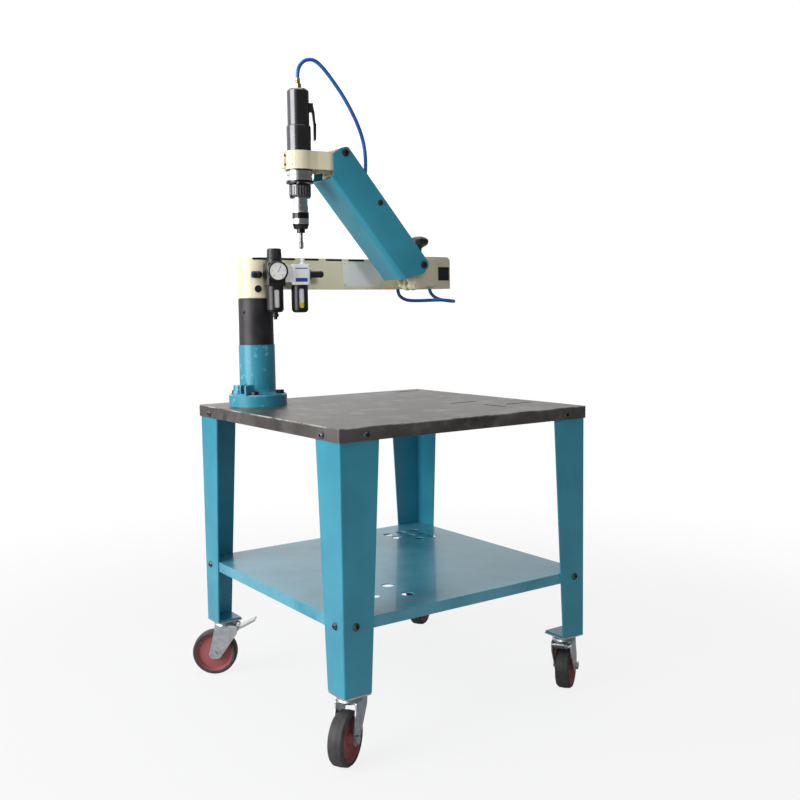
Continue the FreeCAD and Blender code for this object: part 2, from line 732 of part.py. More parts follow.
def make_beam_shaft():
    """Column shaft: pressed in the beam's root, turning in the column's bearings."""
    return turned([(0, table + 36), (shaft_radius - 1, table + 36), (shaft_radius, table + 37),
                   (shaft_radius, beam_top - 12 - PLAY), (0, beam_top - 12 - PLAY)],
                  column_x, column_y, 0)


def make_elbow_bearings():
    low = bearing(elbow_x, column_y, boss_low, elbow_shaft_radius + RUN_FIT, elbow_bearing_radius, 12)
    high = bearing(elbow_x, column_y, boss_high - 12, elbow_shaft_radius + RUN_FIT,
                   elbow_bearing_radius, 12)
    return Part.makeCompound([low, high])


# ---------------------------------------------------------------- knuckle
cheek_near = -cheek_gap / 2 - cheek_sheet
cheek_far = cheek_gap / 2 + cheek_sheet


def make_knuckle():
    """Cast elbow block: two plates round the boss, a square end and the bracket for the arm."""
    left = elbow_x - 38.0
    right = elbow_x + knuckle_reach
    end_x = elbow_x + elbow_radius + 1.5
    outline = [V(left, face_y, 0), V(right, face_y, 0), V(right, column_y + 2, 0),
               V(elbow_x + 22, column_y + 38, 0), V(elbow_x - 24, column_y + 38, 0),
               V(left, column_y, 0)]
    radii = [4, 3, 10, 20, 24, 30]

    def slab(z0, z1):
        return plate([p + V(0, 0, z0) for p in outline], radii, V(0, 0, z1 - z0))

    top = slab(knuckle_high - knuckle_top, knuckle_high)
    foot = slab(knuckle_low, knuckle_low + knuckle_foot)
    end = plate([V(end_x, face_y, knuckle_low), V(right, face_y, knuckle_low),
                 V(right, column_y + 2, knuckle_low), V(end_x, column_y + 8, knuckle_low)],
                [0, 3, 10, 3], V(0, 0, knuckle_high - knuckle_low))
    front = block(left + 5, end_x + 5, face_y, face_y + knuckle_wall, knuckle_low, knuckle_high)
    near = arm_y + cheek_near
    far = arm_y + cheek_far
    reach_x = pin_low.x + 22
    arm_low = knuckle_low + 4
    arm_high = beam_top - 6
    bracket = plate([V(reach_x, near, arm_low), V(reach_x + 34, near, arm_low),
                     V(elbow_x + 9, face_y + 3, arm_low), V(left + 2, face_y + 3, arm_low),
                     V(reach_x, face_y - 8, arm_low)],
                    [4, 12, 0, 0, 16], V(0, 0, arm_high - arm_low))
    cheeks = []
    for y0 in (near, far - cheek_sheet):
        lug = bar_plate(pin_low_2, pin_low, 11.0, y0, y0 + cheek_sheet)
        web = plate([pin_low_2 + V(0, y0, -11), V(reach_x + 6, y0, pin_low_2.z - 3),
                     V(reach_x + 6, y0, pin_low.z + 8), pin_low + V(0, y0, 11)],
                    [0, 0, 0, 0], V(0, cheek_sheet, 0))
        cheeks.append(joined(lug, web))
    block_end = joined(top, foot, end, front)
    shoulder = plate([V(right - knuckle_shoulder, face_y - 1, knuckle_high + 1),
                      V(right + 1, face_y - 1, knuckle_high + 1),
                      V(right + 1, face_y - 1, knuckle_high - knuckle_shoulder)],
                     [0, 0, 0], V(0, 90, 0))
    rounding = Part.makeCylinder(knuckle_shoulder, 90,
                                 V(right - knuckle_shoulder, face_y - 1, knuckle_high - knuckle_shoulder),
                                 ALONG_Y)
    block_end = block_end.cut(shoulder.cut(rounding))
    knuckle = joined(block_end, bracket, *cheeks)
    cuts = [block(pin_low_2.x - 20, reach_x + 8, arm_y - cheek_gap / 2, arm_y + cheek_gap / 2,
                  knuckle_low - 20, knuckle_high)]
    cuts.append(post(elbow_shaft_radius + SEAT_FIT, elbow_x, column_y, knuckle_low - 1, knuckle_high + 1))
    for pin in (pin_low, pin_low_2):
        cuts.append(cross_bar(link_pin_radius + RUN_FIT, pin, near - 1, far + 1))
    cuts.append(cross_bar(spring_pin_radius + SEAT_FIT, spring_foot, near - 1, far + 1))
    x0, x1, z0, z1 = plug_window()
    cuts.append(block(x0, x1, face_y - 1, face_y + plug_depth + 2, z0, z1))
    cuts.append(post(hose_radius + 1, loop_end_x, loop_end_y, knuckle_low - 1, knuckle_low + 20))
    return knuckle.cut(cuts)


def plug_window():
    """Window in the knuckle's face behind the square plug."""
    right = elbow_x + knuckle_reach - 5
    low = knuckle_low + 20
    rim = 2.0
    return right - plug_side + rim, right - rim, low + rim, low + plug_side - rim


def make_end_plug():
    """Square plastic plug in the knuckle's face."""
    x0, x1, z0, z1 = plug_window()
    rim = 2.0
    cap = block(x0 - rim, x1 + rim, face_y - 1.6, face_y, z0 - rim, z1 + rim)
    cap = softened(cap, 1.0, lambda e: abs(e.BoundBox.YMax - (face_y - 1.6)) < 1e-6)
    body = block(x0 + SEAT_FIT, x1 - SEAT_FIT, face_y, face_y + plug_depth, z0 + SEAT_FIT, z1 - SEAT_FIT)
    return joined(cap, body)


def elbow_shaft():
    """Elbow shaft held in the knuckle's two plates, threaded on top for the lock knob."""
    return turned([(0, knuckle_low), (elbow_shaft_radius, knuckle_low),
                   (elbow_shaft_radius, knuckle_high), (4.0, knuckle_high),
                   (4.0, knuckle_high + knob_stem), (0, knuckle_high + knob_stem)],
                  elbow_x, column_y, 0)


def make_lock_knob():
    """Mushroom knob on a slim stem, with a scalloped edge."""
    z = knuckle_high + PLAY
    h = knob_stem + knob_height
    r = knob_radius
    stud = 4.0 + RUN_FIT
    profile = [(stud, 0), (knob_stem_radius + 2, 0), (knob_stem_radius, 5),
               (knob_stem_radius, knob_stem - 3), (knob_stem_radius + 3, knob_stem),
               (r - 5, knob_stem + 5), (r - 1, knob_stem + 9), (r, knob_stem + 14),
               (r - 1, knob_stem + 19), (r - 6, h - 3), (r - 14, h), (0, h),
               (0, knob_stem + 1), (stud, knob_stem + 1)]
    knob = turned(profile, elbow_x, column_y, z)
    lobes = 7
    cuts = []
    for k in range(lobes):
        a = math.radians(360 / lobes * k)
        cuts.append(post(7.0, elbow_x + (r + 5) * math.cos(a), column_y + (r + 5) * math.sin(a),
                         z + knob_stem + 2, z + h))
    return knob.cut(cuts)


# ---------------------------------------------------------------- arm
near_link = arm_y - cheek_gap / 2 - cheek_sheet - link_play - link_sheet
far_link = arm_y + cheek_gap / 2 + cheek_sheet + link_play


def side_outline(y):
    """Side of the cover: round at the pins, cut upright for the head's bracket."""
    cut_x = pin_high.x - 29.0
    corners = [arm_point(-11, -cover_back), arm_point(-14, 14), arm_point(12, cover_depth),
               arm_point(link_length - 19, cover_depth), V(cut_x, 0, pin_high.z - 44),
               V(cut_x, 0, pin_high.z - 3), arm_point(link_length + 14, 2),
               arm_point(link_length + 6, -cover_back)]
    return [c + V(0, y, 0) for c in corners], [12, 13, 2, 2, 5, 3, 6, 10]


def make_arm_cover():
    """Bent sheet cover: a channel with round folds, trimmed to its side outline."""
    depth = cover_depth + 40
    outer = block(-60, link_length + 60, near_y, far_y, -40, cover_depth)
    inner = block(-61, link_length + 61, near_y + cover_sheet, far_y - cover_sheet,
                  -41, cover_depth - cover_sheet)
    fold = [e for e in outer.Edges if e.BoundBox.XLength > depth and e.BoundBox.ZMin > cover_depth - 1]
    outer = outer.makeFillet(cover_bend, fold)
    fold = [e for e in inner.Edges if e.BoundBox.XLength > depth and e.BoundBox.ZMin > 0]
    inner = inner.makeFillet(cover_bend - cover_sheet, fold)
    channel = outer.cut(inner)
    tilt = FreeCAD.Rotation(link_dir, V(0, 1, 0) * -1, link_side, "XZY")
    channel.Placement = FreeCAD.Placement(pin_low, tilt)
    corners, radii = side_outline(near_y - 1)
    cover = channel.common(plate(corners, radii, V(0, cover_width + 2, 0)))
    holes = [cross_bar(link_pin_radius - 1.5 + BOLT_CLEARANCE, p, near_y - 1, far_y + 1)
             for p in (pin_low, pin_high)]
    holes.append(cross_bar(spring_pin_radius + BOLT_CLEARANCE, spring_head, near_y - 1, far_y + 1))
    return cover.cut(holes)


def link_pair(a, b, bore):
    bars = []
    for y0 in (near_link, far_link):
        bar = bar_plate(a, b, link_half_width, y0, y0 + link_sheet)
        bar = bar.cut([cross_bar(bore, p, y0 - 1, y0 + link_sheet + 1) for p in (a, b)])
        bars.append(bar)
    return bars


def make_upper_links():
    """Two bars that carry the load, drilled for their pins and the spring's cross pin."""
    bars = link_pair(pin_low, pin_high, link_pin_radius + SEAT_FIT)
    hole = cross_bar(spring_pin_radius + SEAT_FIT, spring_head, near_y, far_y)
    return Part.makeCompound([bar.cut(hole) for bar in bars])


def make_lower_links():
    return Part.makeCompound(link_pair(pin_low_2, pin_high_2, link_pin_radius + SEAT_FIT))


def make_upper_pins():
    """Pins of the upper link; their thin ends hold the cover on spacer collars."""
    pieces = []
    for p in (pin_low, pin_high):
        core = cross_bar(link_pin_radius, p, near_link, far_link + link_sheet)
        ends = cross_bar(link_pin_radius - 1.5, p, near_y - 1, far_y + 1)
        collars = [cross_bar(link_pin_radius + 3, p, near_y + cover_sheet, near_link),
                   cross_bar(link_pin_radius + 3, p, far_link + link_sheet, far_y - cover_sheet)]
        head = turned([(0, 0), (8.0, 0), (8.0, 2.2), (5.0, 4.2), (3.0, 4.2), (3.0, 1.6), (0, 1.6)],
                      p.x, near_y, p.z, V(0, -1, 0))
        nut = cross_bar(8.0, p, far_y, far_y + 3)
        pieces.append(joined(core, ends, head, nut, *collars))
    core = cross_bar(spring_pin_radius, spring_head, near_y - 1, far_y + 1)
    collars = [cross_bar(spring_pin_radius + 3, spring_head, near_y + cover_sheet, near_link),
               cross_bar(spring_pin_radius + 3, spring_head, far_link + link_sheet,
                         far_y - cover_sheet)]
    head = turned([(0, 0), (6.0, 0), (6.0, 1.6), (4.0, 3.0), (0, 3.0)],
                  spring_head.x, near_y, spring_head.z, V(0, -1, 0))
    nut = cross_bar(6.5, spring_head, far_y, far_y + 3)
    pieces.append(joined(core, head, nut, *collars))
    return Part.makeCompound(pieces)


def make_lower_pins():
    """Pins of the lower link with a retaining head at each end."""
    pieces = []
    for p in (pin_low_2, pin_high_2):
        core = cross_bar(link_pin_radius, p, near_link - 1, far_link + link_sheet + 1)
        heads = [cross_bar(link_pin_radius + 2.5, p, near_link - 3, near_link),
                 cross_bar(link_pin_radius + 2.5, p, far_link + link_sheet, far_link + link_sheet + 3)]
        pieces.append(joined(core, *heads))
    return Part.makeCompound(pieces)


# ---------------------------------------------------------------- balance spring
spring_span = spring_head - spring_foot
spring_dir = V(spring_span.x, 0, spring_span.z).normalize()
spring_start = 28.0
spring_tube = 106.0
eye_outer = spring_pin_radius + spring_play + 4.0


def spring_point(distance):
    return spring_foot + spring_dir * distance + V(0, arm_y, 0)


def make_spring_cylinder():
    """Gas spring tube with its lower eye, bored for the rod."""
    eye = cross_bar(8.0, spring_foot, arm_y - spring_eye_sheet / 2, arm_y + spring_eye_sheet / 2)
    shank = rod(spring_shank_radius, spring_point(4), spring_point(spring_start + 4))
    tube = turned([(0, 0), (spring_radius - 2, 0), (spring_radius, 2), (spring_radius, spring_tube - 2),
                   (spring_radius - 2, spring_tube), (0, spring_tube)])
    tube.Placement = FreeCAD.Placement(spring_point(spring_start), FreeCAD.Rotation(UP, spring_dir))
    solid = joined(eye, shank, tube)
    bore = rod(spring_rod_radius + RUN_FIT, spring_point(spring_start + 8),
               spring_point(spring_start + spring_tube + 2))
    hole = cross_bar(spring_pin_radius + RUN_FIT, spring_foot, arm_y - 10, arm_y + 10)
    return solid.cut([bore, hole])


def make_spring_rod():
    """Rod of the gas spring; its eye has room round the cross pin."""
    length = spring_span.Length
    bar = rod(spring_rod_radius, spring_point(spring_start + 36), spring_point(length - eye_outer + 2))
    eye = cross_bar(eye_outer, spring_head, arm_y - spring_eye_sheet / 2, arm_y + spring_eye_sheet / 2)
    hole = cross_bar(spring_pin_radius + spring_play, spring_head, arm_y - 10, arm_y + 10)
    return joined(bar, eye).cut(hole)


def make_knuckle_pins():
    """Elbow shaft and the pin of the gas spring's lower eye, both held in the knuckle."""
    foot_pin = cross_bar(spring_pin_radius, spring_foot, arm_y - cheek_gap / 2 - cheek_sheet - 1,
                         arm_y + cheek_gap / 2 + cheek_sheet + 1)
    return Part.makeCompound([elbow_shaft(), foot_pin])


# ---------------------------------------------------------------- head
def motor_point(z):
    return V(motor_x, arm_y, z)


def turned_ears(shape):
    """Carry a piece of the ring's split from its own frame to the head."""
    shape.rotate(V(0, 0, 0), UP, ear_angle)
    shape.translate(V(motor_x, arm_y, 0))
    return shape


def ring_screw_lines():
    """Centres and direction of the two set screws in the ring."""
    aim = V(math.cos(math.radians(218)), math.sin(math.radians(218)), 0)
    return [V(motor_x, arm_y, bracket_top - drop) for drop in (10.5, 28.5)], aim


def ear_screw_heights():
    """Heights of the two screws that draw the ring's ears together."""
    return bracket_low + ear_screw_inset, bracket_top - ear_screw_inset


def make_head_bracket():
    """Cast bracket: a split ring round the motor, a wide cored neck and a tongue for the pins."""
    ring = post(ring_radius, motor_x, arm_y, bracket_low, bracket_top)
    half_width = bracket_width / 2

    def neck_outline(inset, z):
        w = half_width - inset
        r = ring_radius - 1 - inset
        end = bracket_end - inset
        side = [V(motor_x, -r, z), V(motor_x + 26, -r, z), V(bracket_end - 14, -w, z), V(end, -w, z)]
        return [p + V(0, arm_y, 0) for p in side + [V(p.x, -p.y, z) for p in reversed(side)]]

    corners = [0, 20, 20, 4, 4, 20, 20, 0]
    neck = plate(neck_outline(0, bracket_low), corners, V(0, 0, bracket_height))
    core = plate(neck_outline(bracket_wall, bracket_low - 1), corners, V(0, 0, bracket_height - bracket_wall))
    core = core.cut(post(ring_radius, motor_x, arm_y, bracket_low - 2, bracket_top))
    y0 = arm_y - tongue_width / 2
    lug = bar_plate(pin_high_2, pin_high, 11.5, y0, y0 + tongue_width)
    bridge = plate([V(bracket_end - 4, y0, bracket_low), pin_high_2 + V(0, y0, -11.5),
                    pin_high + V(0, y0, 11.5), V(bracket_end - 4, y0, bracket_top)],
                   [0, 0, 0, 0], V(0, tongue_width, 0))
    ears = block(-ring_radius - 5, -ring_radius + 6, -ear_half_width, ear_half_width,
                 bracket_low + 3, bracket_top - 3)
    ears = turned_ears(softened(ears, 3.0, upright))
    body = joined(ring, neck.cut(core), lug, bridge, ears)
    split = turned_ears(block(-ring_radius - 12, -motor_radius + 3, -1.2, 1.2,
                              bracket_low - 1, bracket_top + 1))
    cuts = [post(motor_radius + SEAT_FIT, motor_x, arm_y, bracket_low - 1, bracket_top + 1), split]
    for p in (pin_high, pin_high_2):
        cuts.append(cross_bar(link_pin_radius + RUN_FIT, p, y0 - 1, y0 + tongue_width + 1))
    for z in ear_screw_heights():
        near = V(-ring_radius - 1, -2 * ear_half_width, z)
        far = V(-ring_radius - 1, 2 * ear_half_width, z)
        seat = V(-ring_radius - 1, ear_half_width, z)
        cuts.append(turned_ears(rod(ear_screw_radius + BOLT_CLEARANCE, near, far)))
        cuts.append(turned_ears(rod(ear_screw_radius + 1.9, seat, far)))
    centres, aim = ring_screw_lines()
    for centre in centres:
        cuts.append(rod(2.5, centre + aim * 20, centre + aim * 40))
    return body.cut(cuts)


def make_bracket_screws():
    """Two screws that draw the ring's ears together and two set screws in the ring."""
    screws = []
    for z in ear_screw_heights():
        seat = V(-ring_radius - 1, ear_half_width, z)
        screws.append(turned_ears(socket_screw(seat, ALONG_Y, ear_screw_radius + 1.5, 3.6,
                                               2 * ear_half_width - 1)))
    centres, aim = ring_screw_lines()
    for centre in centres:
        grub = rod(2.5 - SEAT_FIT, centre + aim * (motor_radius - 3), centre + aim * (ring_radius - 1.2))
        screws.append(grub.cut(post(motor_radius + SEAT_FIT, motor_x, arm_y, bracket_low, bracket_top)))
    return Part.makeCompound(screws)


motor_high = bracket_top + motor_low_height
handle_high = motor_high + handle_height


lever_pin_x = handle_radius + 4.5
lever_pin_z = motor_high + 41
lever_pin_radius = 1.8
lever_slot = 6.4


def turned_lever(shape):
    """Carry a piece of the throttle from its own frame to the motor."""
    shape.rotate(V(0, 0, 0), UP, lever_angle)
    shape.translate(V(motor_x, arm_y, 0))
    return shape


def make_motor_body():
    """Motor housing: the clamped barrel, a stepped body, the handle and the throttle's root."""
    profile = [(0, bracket_low - 3), (motor_radius + 2, bracket_low - 3),
               (motor_radius + 2, bracket_low), (motor_radius, bracket_low),
               (motor_radius, motor_high - 2), (motor_radius - 1, motor_high - 1),
               (motor_radius - 1, motor_high), (handle_radius, motor_high + 1),
               (handle_radius, handle_high - 4), (handle_radius - 4, handle_high),
               (handle_radius - 9, handle_high), (handle_radius - 9, handle_high - 6),
               (0, handle_high - 6)]
    body = turned(profile, motor_x, arm_y)
    root = block(handle_radius - 6, handle_radius + 8, -6, 6,
                 lever_pin_z - lever_root_depth, lever_pin_z + 5)
    root = softened(root, 2.5, upright)
    slot = block(handle_radius - 1, handle_radius + 10, -lever_slot / 2, lever_slot / 2,
                 lever_pin_z - lever_root_depth - 2, lever_pin_z + 6)
    pin = rod(lever_pin_radius, V(lever_pin_x, -6, lever_pin_z), V(lever_pin_x, 6, lever_pin_z))
    return joined(body, turned_lever(joined(root.cut(slot), pin)))


def make_throttle_lever():
    """Throttle lever hinged in its root, its blade hanging beside the barrel."""
    x = lever_pin_x
    z = lever_pin_z
    w = lever_slot / 2 - 0.2
    spine = plate([V(x - 3, -w, z + 3.5), V(x + 3, -w, z + 3.5), V(x + 6.5, -w, z - 14),
                   V(x + 8, -w, z - 36), V(x + 7, -w, z - 67), V(x + 3.5, -w, z - 68),
                   V(x + 3.5, -w, z - 38), V(x + 1, -w, z - 16), V(x - 3, -w, z - 5)],
                  [2.5, 2.5, 4, 8, 1.5, 1.5, 8, 6, 2.5], V(0, 2 * w, 0))
    pad = plate([V(x + 6, -8, z - 34), V(x + 8.6, -8, z - 37), V(x + 7.6, -8, z - 69),
                 V(x + 4.6, -8, z - 70)], [1, 1, 1, 1], V(0, 16, 0))
    bore = rod(lever_pin_radius + RUN_FIT, V(x, -9, z), V(x, 9, z))
    return turned_lever(joined(spine, pad).cut(bore))


collar_low = bracket_low - 27.0


def make_motor_collar():
    """Bright nose collar with its groove and the dark flange below."""
    top = bracket_low - 3
    return turned([(0, top), (collar_radius, top), (collar_radius, top - 8), (collar_radius - 1.5, top - 9),
                   (collar_radius - 1.5, top - 11), (collar_radius, top - 12),
                   (collar_radius, collar_low + 5), (collar_radius + 2, collar_low + 4.5),
                   (collar_radius + 2, collar_low), (spindle_radius + 6, collar_low),
                   (spindle_radius + 6, collar_low + 4), (spindle_radius + RUN_FIT, collar_low + 4),
                   (spindle_radius + RUN_FIT, top - 6), (0, top - 6)], motor_x, arm_y)


def make_spindle():
    """Output spindle with the chuck's driven body below the collar."""
    z0 = collar_low
    return turned([(0, z0 + 14), (spindle_radius, z0 + 14), (spindle_radius, z0 - 2),
                   (chuck_radius, z0 - 2), (chuck_radius, z0 - 44), (chuck_radius + 1, z0 - 46),
                   (chuck_radius + 1, z0 - 57), (chuck_radius + 2.2, z0 - 58),
                   (chuck_radius + 2.2, z0 - 82), (chuck_radius - 1, z0 - 92), (8.5, z0 - 92),
                   (8.5, z0 - 100), (3.5 + SEAT_FIT, z0 - 100), (3.5 + SEAT_FIT, z0 - 74),
                   (0, z0 - 74)], motor_x, arm_y)


def make_quick_sleeve():
    """Knurled release sleeve that slides on the chuck."""
    z0 = collar_low - 2 - PLAY
    flutes = 24
    ring = turned([(chuck_radius + RUN_FIT, z0), (21.5, z0), (22.5, z0 - 2), (22.5, z0 - 22), (21, z0 - 27),
                   (chuck_radius + RUN_FIT, z0 - 27)], motor_x, arm_y)
    cuts = []
    for k in range(flutes):
        a = math.radians(360 / flutes * k)
        cuts.append(post(1.2, motor_x + 22.9 * math.cos(a), arm_y + 22.9 * math.sin(a),
                         z0 - 23, z0 - 4))
    return ring.cut(cuts)


def make_tap():
    """Tap held in the collet: shank, square and threaded end."""
    z0 = collar_low
    body = turned([(0, z0 - 78), (3.5, z0 - 78), (3.5, z0 - 118), (4.8, z0 - 119.5),
                   (4.8, z0 - 129), (3.2, z0 - 132.5), (0, z0 - 132.5)], motor_x, arm_y)
    flutes = []
    for k in range(3):
        a = math.radians(120 * k + 30)
        flutes.append(post(1.9, motor_x + 5.0 * math.cos(a), arm_y + 5.0 * math.sin(a),
                           z0 - 134, z0 - 119))
    return body.cut(flutes)


def make_motor_fitting():
    """Brass air inlet on the motor: hexagon and hose tail."""
    z0 = handle_high - 6
    stub = post(8.0, motor_x, arm_y, z0, z0 + 8)
    hexa = hexagon_bar(8.5, 8, V(motor_x, arm_y, z0 + 8))
    tail = turned([(0, 16), (6.5, 16), (5.4, 20), (5.4, 22), (0, 22)], motor_x, arm_y, z0)
    return joined(stub, hexa, tail)


# ---------------------------------------------------------------- air unit on the beam
unit_frame = FreeCAD.Placement(V(unit_x, unit_y, 0), FreeCAD.Rotation(UP, unit_turn))


def on_unit(shape):
    """Move a piece from the air unit's own frame to the beam."""
    shape.Placement = unit_frame.multiply(shape.Placement)
    return shape


half_unit = unit_side / 2


def valve_body(x, low, high):
    body = block(x - half_unit, x + half_unit, -half_unit, half_unit, low, high)
    body = softened(body, 6.0, upright)
    return softened(body, 1.5, lambda e: e.BoundBox.ZLength < 1e-6)


def make_regulator_body():
    body = valve_body(0, unit_low, unit_high)
    bonnet = turned([(0, unit_high), (17.5, unit_high), (16.5, unit_high + 4), (0, unit_high + 4)])
    port_z = unit_high - port_drop
    dial_z = unit_high - gauge_drop
    port = rod(11.0, V(-half_unit - 3, 0, port_z), V(-half_unit + 2, 0, port_z))
    socket = rod(6.5, V(-half_unit - 4, 0, port_z), V(-half_unit + 8, 0, port_z))
    boss = rod(7.0, V(0, -half_unit + 1, dial_z), V(0, -half_unit - 3, dial_z))
    stem = turned([(0, unit_high + 3), (9, unit_high + 3), (9, unit_high + 12), (0, unit_high + 12)])
    return on_unit(joined(body, bonnet, port, boss, stem).cut(socket))


def make_regulator_knob():
    z0 = unit_high + 4 + PLAY
    knob = turned([(9 + RUN_FIT, z0), (16.2, z0), (15.2, z0 + 24.5), (13.2, z0 + 26), (0, z0 + 26),
                   (0, z0 + 9), (9 + RUN_FIT, z0 + 9)])
    flutes = 20
    cuts = []
    for k in range(flutes):
        a = math.radians(360 / flutes * k)
        cuts.append(post(1.1, 16.1 * math.cos(a), 16.1 * math.sin(a), z0 + 3, z0 + 22))
    return on_unit(knob.cut(cuts))


def make_gauge():
    z = unit_high - gauge_drop
    dial_radius = gauge_radius - gauge_rim
    case = turned([(0, 0), (6, 0), (8, 3), (gauge_radius - 2, 3), (gauge_radius, 4.5),
                   (gauge_radius, gauge_depth - 1), (gauge_radius - 1, gauge_depth),
                   (dial_radius, gauge_depth), (dial_radius, gauge_depth - 2.5),
                   (0, gauge_depth - 2.5)], 0, -half_unit - 3, z, V(0, -1, 0))
    return on_unit(case)


def bowl_guard(x, low, top):
    """Bowl guard with four windows and a rounded end."""
    guard = turned([(guard_radius - 2, top), (guard_radius, top), (guard_radius, low + 6),
                    (guard_radius - 3, low + 1.5), (guard_radius - 7, low), (6.0, low),
                    (6.0, low + 2.5), (guard_radius - 7, low + 2.5), (guard_radius - 2, low + 8)], x)
    cuts = []
    side = guard_window_width / 2
    for k in range(4):
        window = block(-side, side, guard_radius - 6, guard_radius + 2,
                       low + guard_window_foot, top - guard_window_head)
        window = softened(window, 3.0, lambda e: e.BoundBox.XLength < 1e-6 and e.BoundBox.ZLength < 1e-6)
        window.rotate(V(0, 0, 0), UP, 90 * k)
        window.translate(V(x, 0, 0))
        cuts.append(window)
    return guard.cut(cuts)


def bowl(x, low, top):
    """Clear bowl inside its guard."""
    r = guard_radius - 2 - PLAY
    return turned([(0, low + 4), (r - 6, low + 4), (r, low + 10), (r, top), (r - 2.5, top),
                   (r - 2.5, low + 11), (r - 7, low + 6.5), (0, low + 6.5)], x)


def make_bowl_guards():
    """Guards of the filter and of the lubricator."""
    return Part.makeCompound([on_unit(bowl_guard(0, bowl_low, unit_low)),
                              on_unit(bowl_guard(unit_pitch, bowl_low - 1, unit_low + 2))])


def make_drain_knob():
    z0 = bowl_low
    knob = turned([(0, z0 + 3.9), (5.4, z0 + 3.9), (5.4, z0 - 2), (7.0, z0 - 3), (7.0, z0 - 9),
                   (4.0, z0 - 10), (4.0, z0 - 15), (0, z0 - 15)])
    return on_unit(knob)


def make_lubricator_body():
    body = valve_body(unit_pitch, unit_low + 2, unit_high - 3)
    cap = turned([(0, unit_high - 3), (6.5, unit_high - 3), (6.0, unit_high + 1), (0, unit_high + 1)],
                 unit_pitch + dome_shift)
    return on_unit(joined(body, cap))


def make_clear_bowls():
    """Clear pieces of the air unit: both bowls and the drip sight dome."""
    z0 = unit_high + 1
    dome = turned([(0, z0), (4.8, z0), (4.8, z0 + 6), (3.8, z0 + 9), (1.8, z0 + 10.5), (0, z0 + 10.5)],
                  unit_pitch + dome_shift)
    return Part.makeCompound([on_unit(bowl(0, bowl_low, unit_low)),
                              on_unit(bowl(unit_pitch, bowl_low - 1, unit_low + 2)), on_unit(dome)])


def make_unit_bracket():
    """Spacer between the two bodies with its foot on the beam's face."""
    gap = unit_pitch - unit_side
    mid = unit_pitch / 2
    spacer = block(mid - gap / 2, mid + gap / 2, -half_unit + 4, half_unit + 3,
                   unit_low + 8, unit_high - 5)
    piece = on_unit(spacer)
    centre = unit_frame.multVec(V(mid, half_unit, 0))
    stem = block(centre.x - 7, centre.x + 7, centre.y - 1, beam_front, unit_low + 12, unit_high - 8)
    foot = block(centre.x - bracket_foot_left, centre.x + bracket_foot_right, beam_front - 4, beam_front,
                 unit_low + 8, unit_high - 3)
    foot = softened(foot, 1.2, lambda e: abs(e.BoundBox.YMax - (beam_front - 4)) < 1e-6)
    return joined(piece, stem, foot)


def make_air_fittings():
    """Inlet elbow and plug on the root, and the outlet pipe from the unit into the beam."""
    z = unit_high - port_drop
    right = unit_pitch + half_unit
    corner = V(right + outlet_reach, 0, z)
    collar = hexagon_bar(9.5, 6, V(right, 0, z), ALONG_X)
    outlet = on_unit(joined(rod(7.0, V(right, 0, z), corner), collar))
    corner = unit_frame.multVec(corner)
    seat = V(corner.x, beam_front, corner.z)
    outlet = joined(outlet, Part.makeSphere(7.6, corner), rod(7.0, corner, seat),
                    rod(10.0, seat - V(0, 5, 0), seat))
    inlet_seat, plug_seat, aim = inlet_lines()
    side = V(aim.y, -aim.x, 0)
    hub = inlet_seat + aim * (root_radius + 12)
    inlet = joined(rod(inlet_radius, inlet_seat + aim * (root_radius - 5), hub),
                   Part.makeSphere(8.0, hub), rod(7.5, hub, hub + side * 12))
    inlet = inlet.cut(rod(hose_radius, hub + side * 4, hub + side * 13))
    release = joined(rod(6.0, hub + side * 12, hub + side * 15),
                     rod(7.0, hub + side * 13.5, hub + side * 15))
    release = release.cut(rod(hose_radius, hub + side * 11, hub + side * 16))
    plug = rod(root_plug_radius, plug_seat + aim * (root_radius - 5), plug_seat + aim * (root_radius + 3))
    plug = plug.cut(hexagon_bar(3.6, 5, plug_seat + aim * (root_radius + 0.5), aim))
    return Part.makeCompound([outlet, inlet, release, plug])


# ---------------------------------------------------------------- hoses
def hose(points, name):
    """Hose through hand-set points: straight runs and the largest arcs they allow."""
    radii = [0.0]
    for i in range(1, len(points) - 1):
        into = points[i] - points[i - 1]
        out = points[i + 1] - points[i]
        turn = into.getAngle(out)
        radii.append(0.45 * min(into.Length, out.Length) / math.tan(turn / 2))
    radii.append(0.0)
    path = tangent_path(points, radii)
    start = (points[1] - points[0]).normalize()
    section = Part.Wire(Part.makeCircle(hose_radius, points[0], start))
    solid = path.makePipeShell([section], True, False)
    ideal = math.pi * hose_radius ** 2 * path.Length
    print(name, "length %.0f mm" % path.Length, "volume ratio %.4f" % (solid.Volume / ideal))
    print("  radii", [round(r) for r in radii[1:-1]])
    return solid


ARM_HOSE = [V(-169.5, 50, 1287.2), V(-169, 50, 1302), V(-163, 50, 1316), V(-149.5, 50, 1328),
            V(-128, 50, 1330), V(-107, 50, 1315), V(-83, 50, 1290), V(-57, 50, 1259.5),
            V(-31, 50, 1219), V(-14, 50, 1181), V(-8, 50, 1146), V(-8.5, 50, 1113),
            V(-13, 50, 1088), V(-19, 50, 1066)]
LOOP_HOSE = [V(loop_start_x, loop_start_y, 873), V(loop_start_x + 0.5, loop_start_y - 1, 861),
             V(174, 192, 848.5), V(187, 183, 839), V(206, 170, 837.5), V(228, 155, 838),
             V(251, 138, 839), V(277, 128, 837), V(299, 137, 835), V(302, 160, 836),
             V(289, 177, 839), V(273, 186, 846), V(263, 192, 860), V(loop_end_x, loop_end_y, 873)]


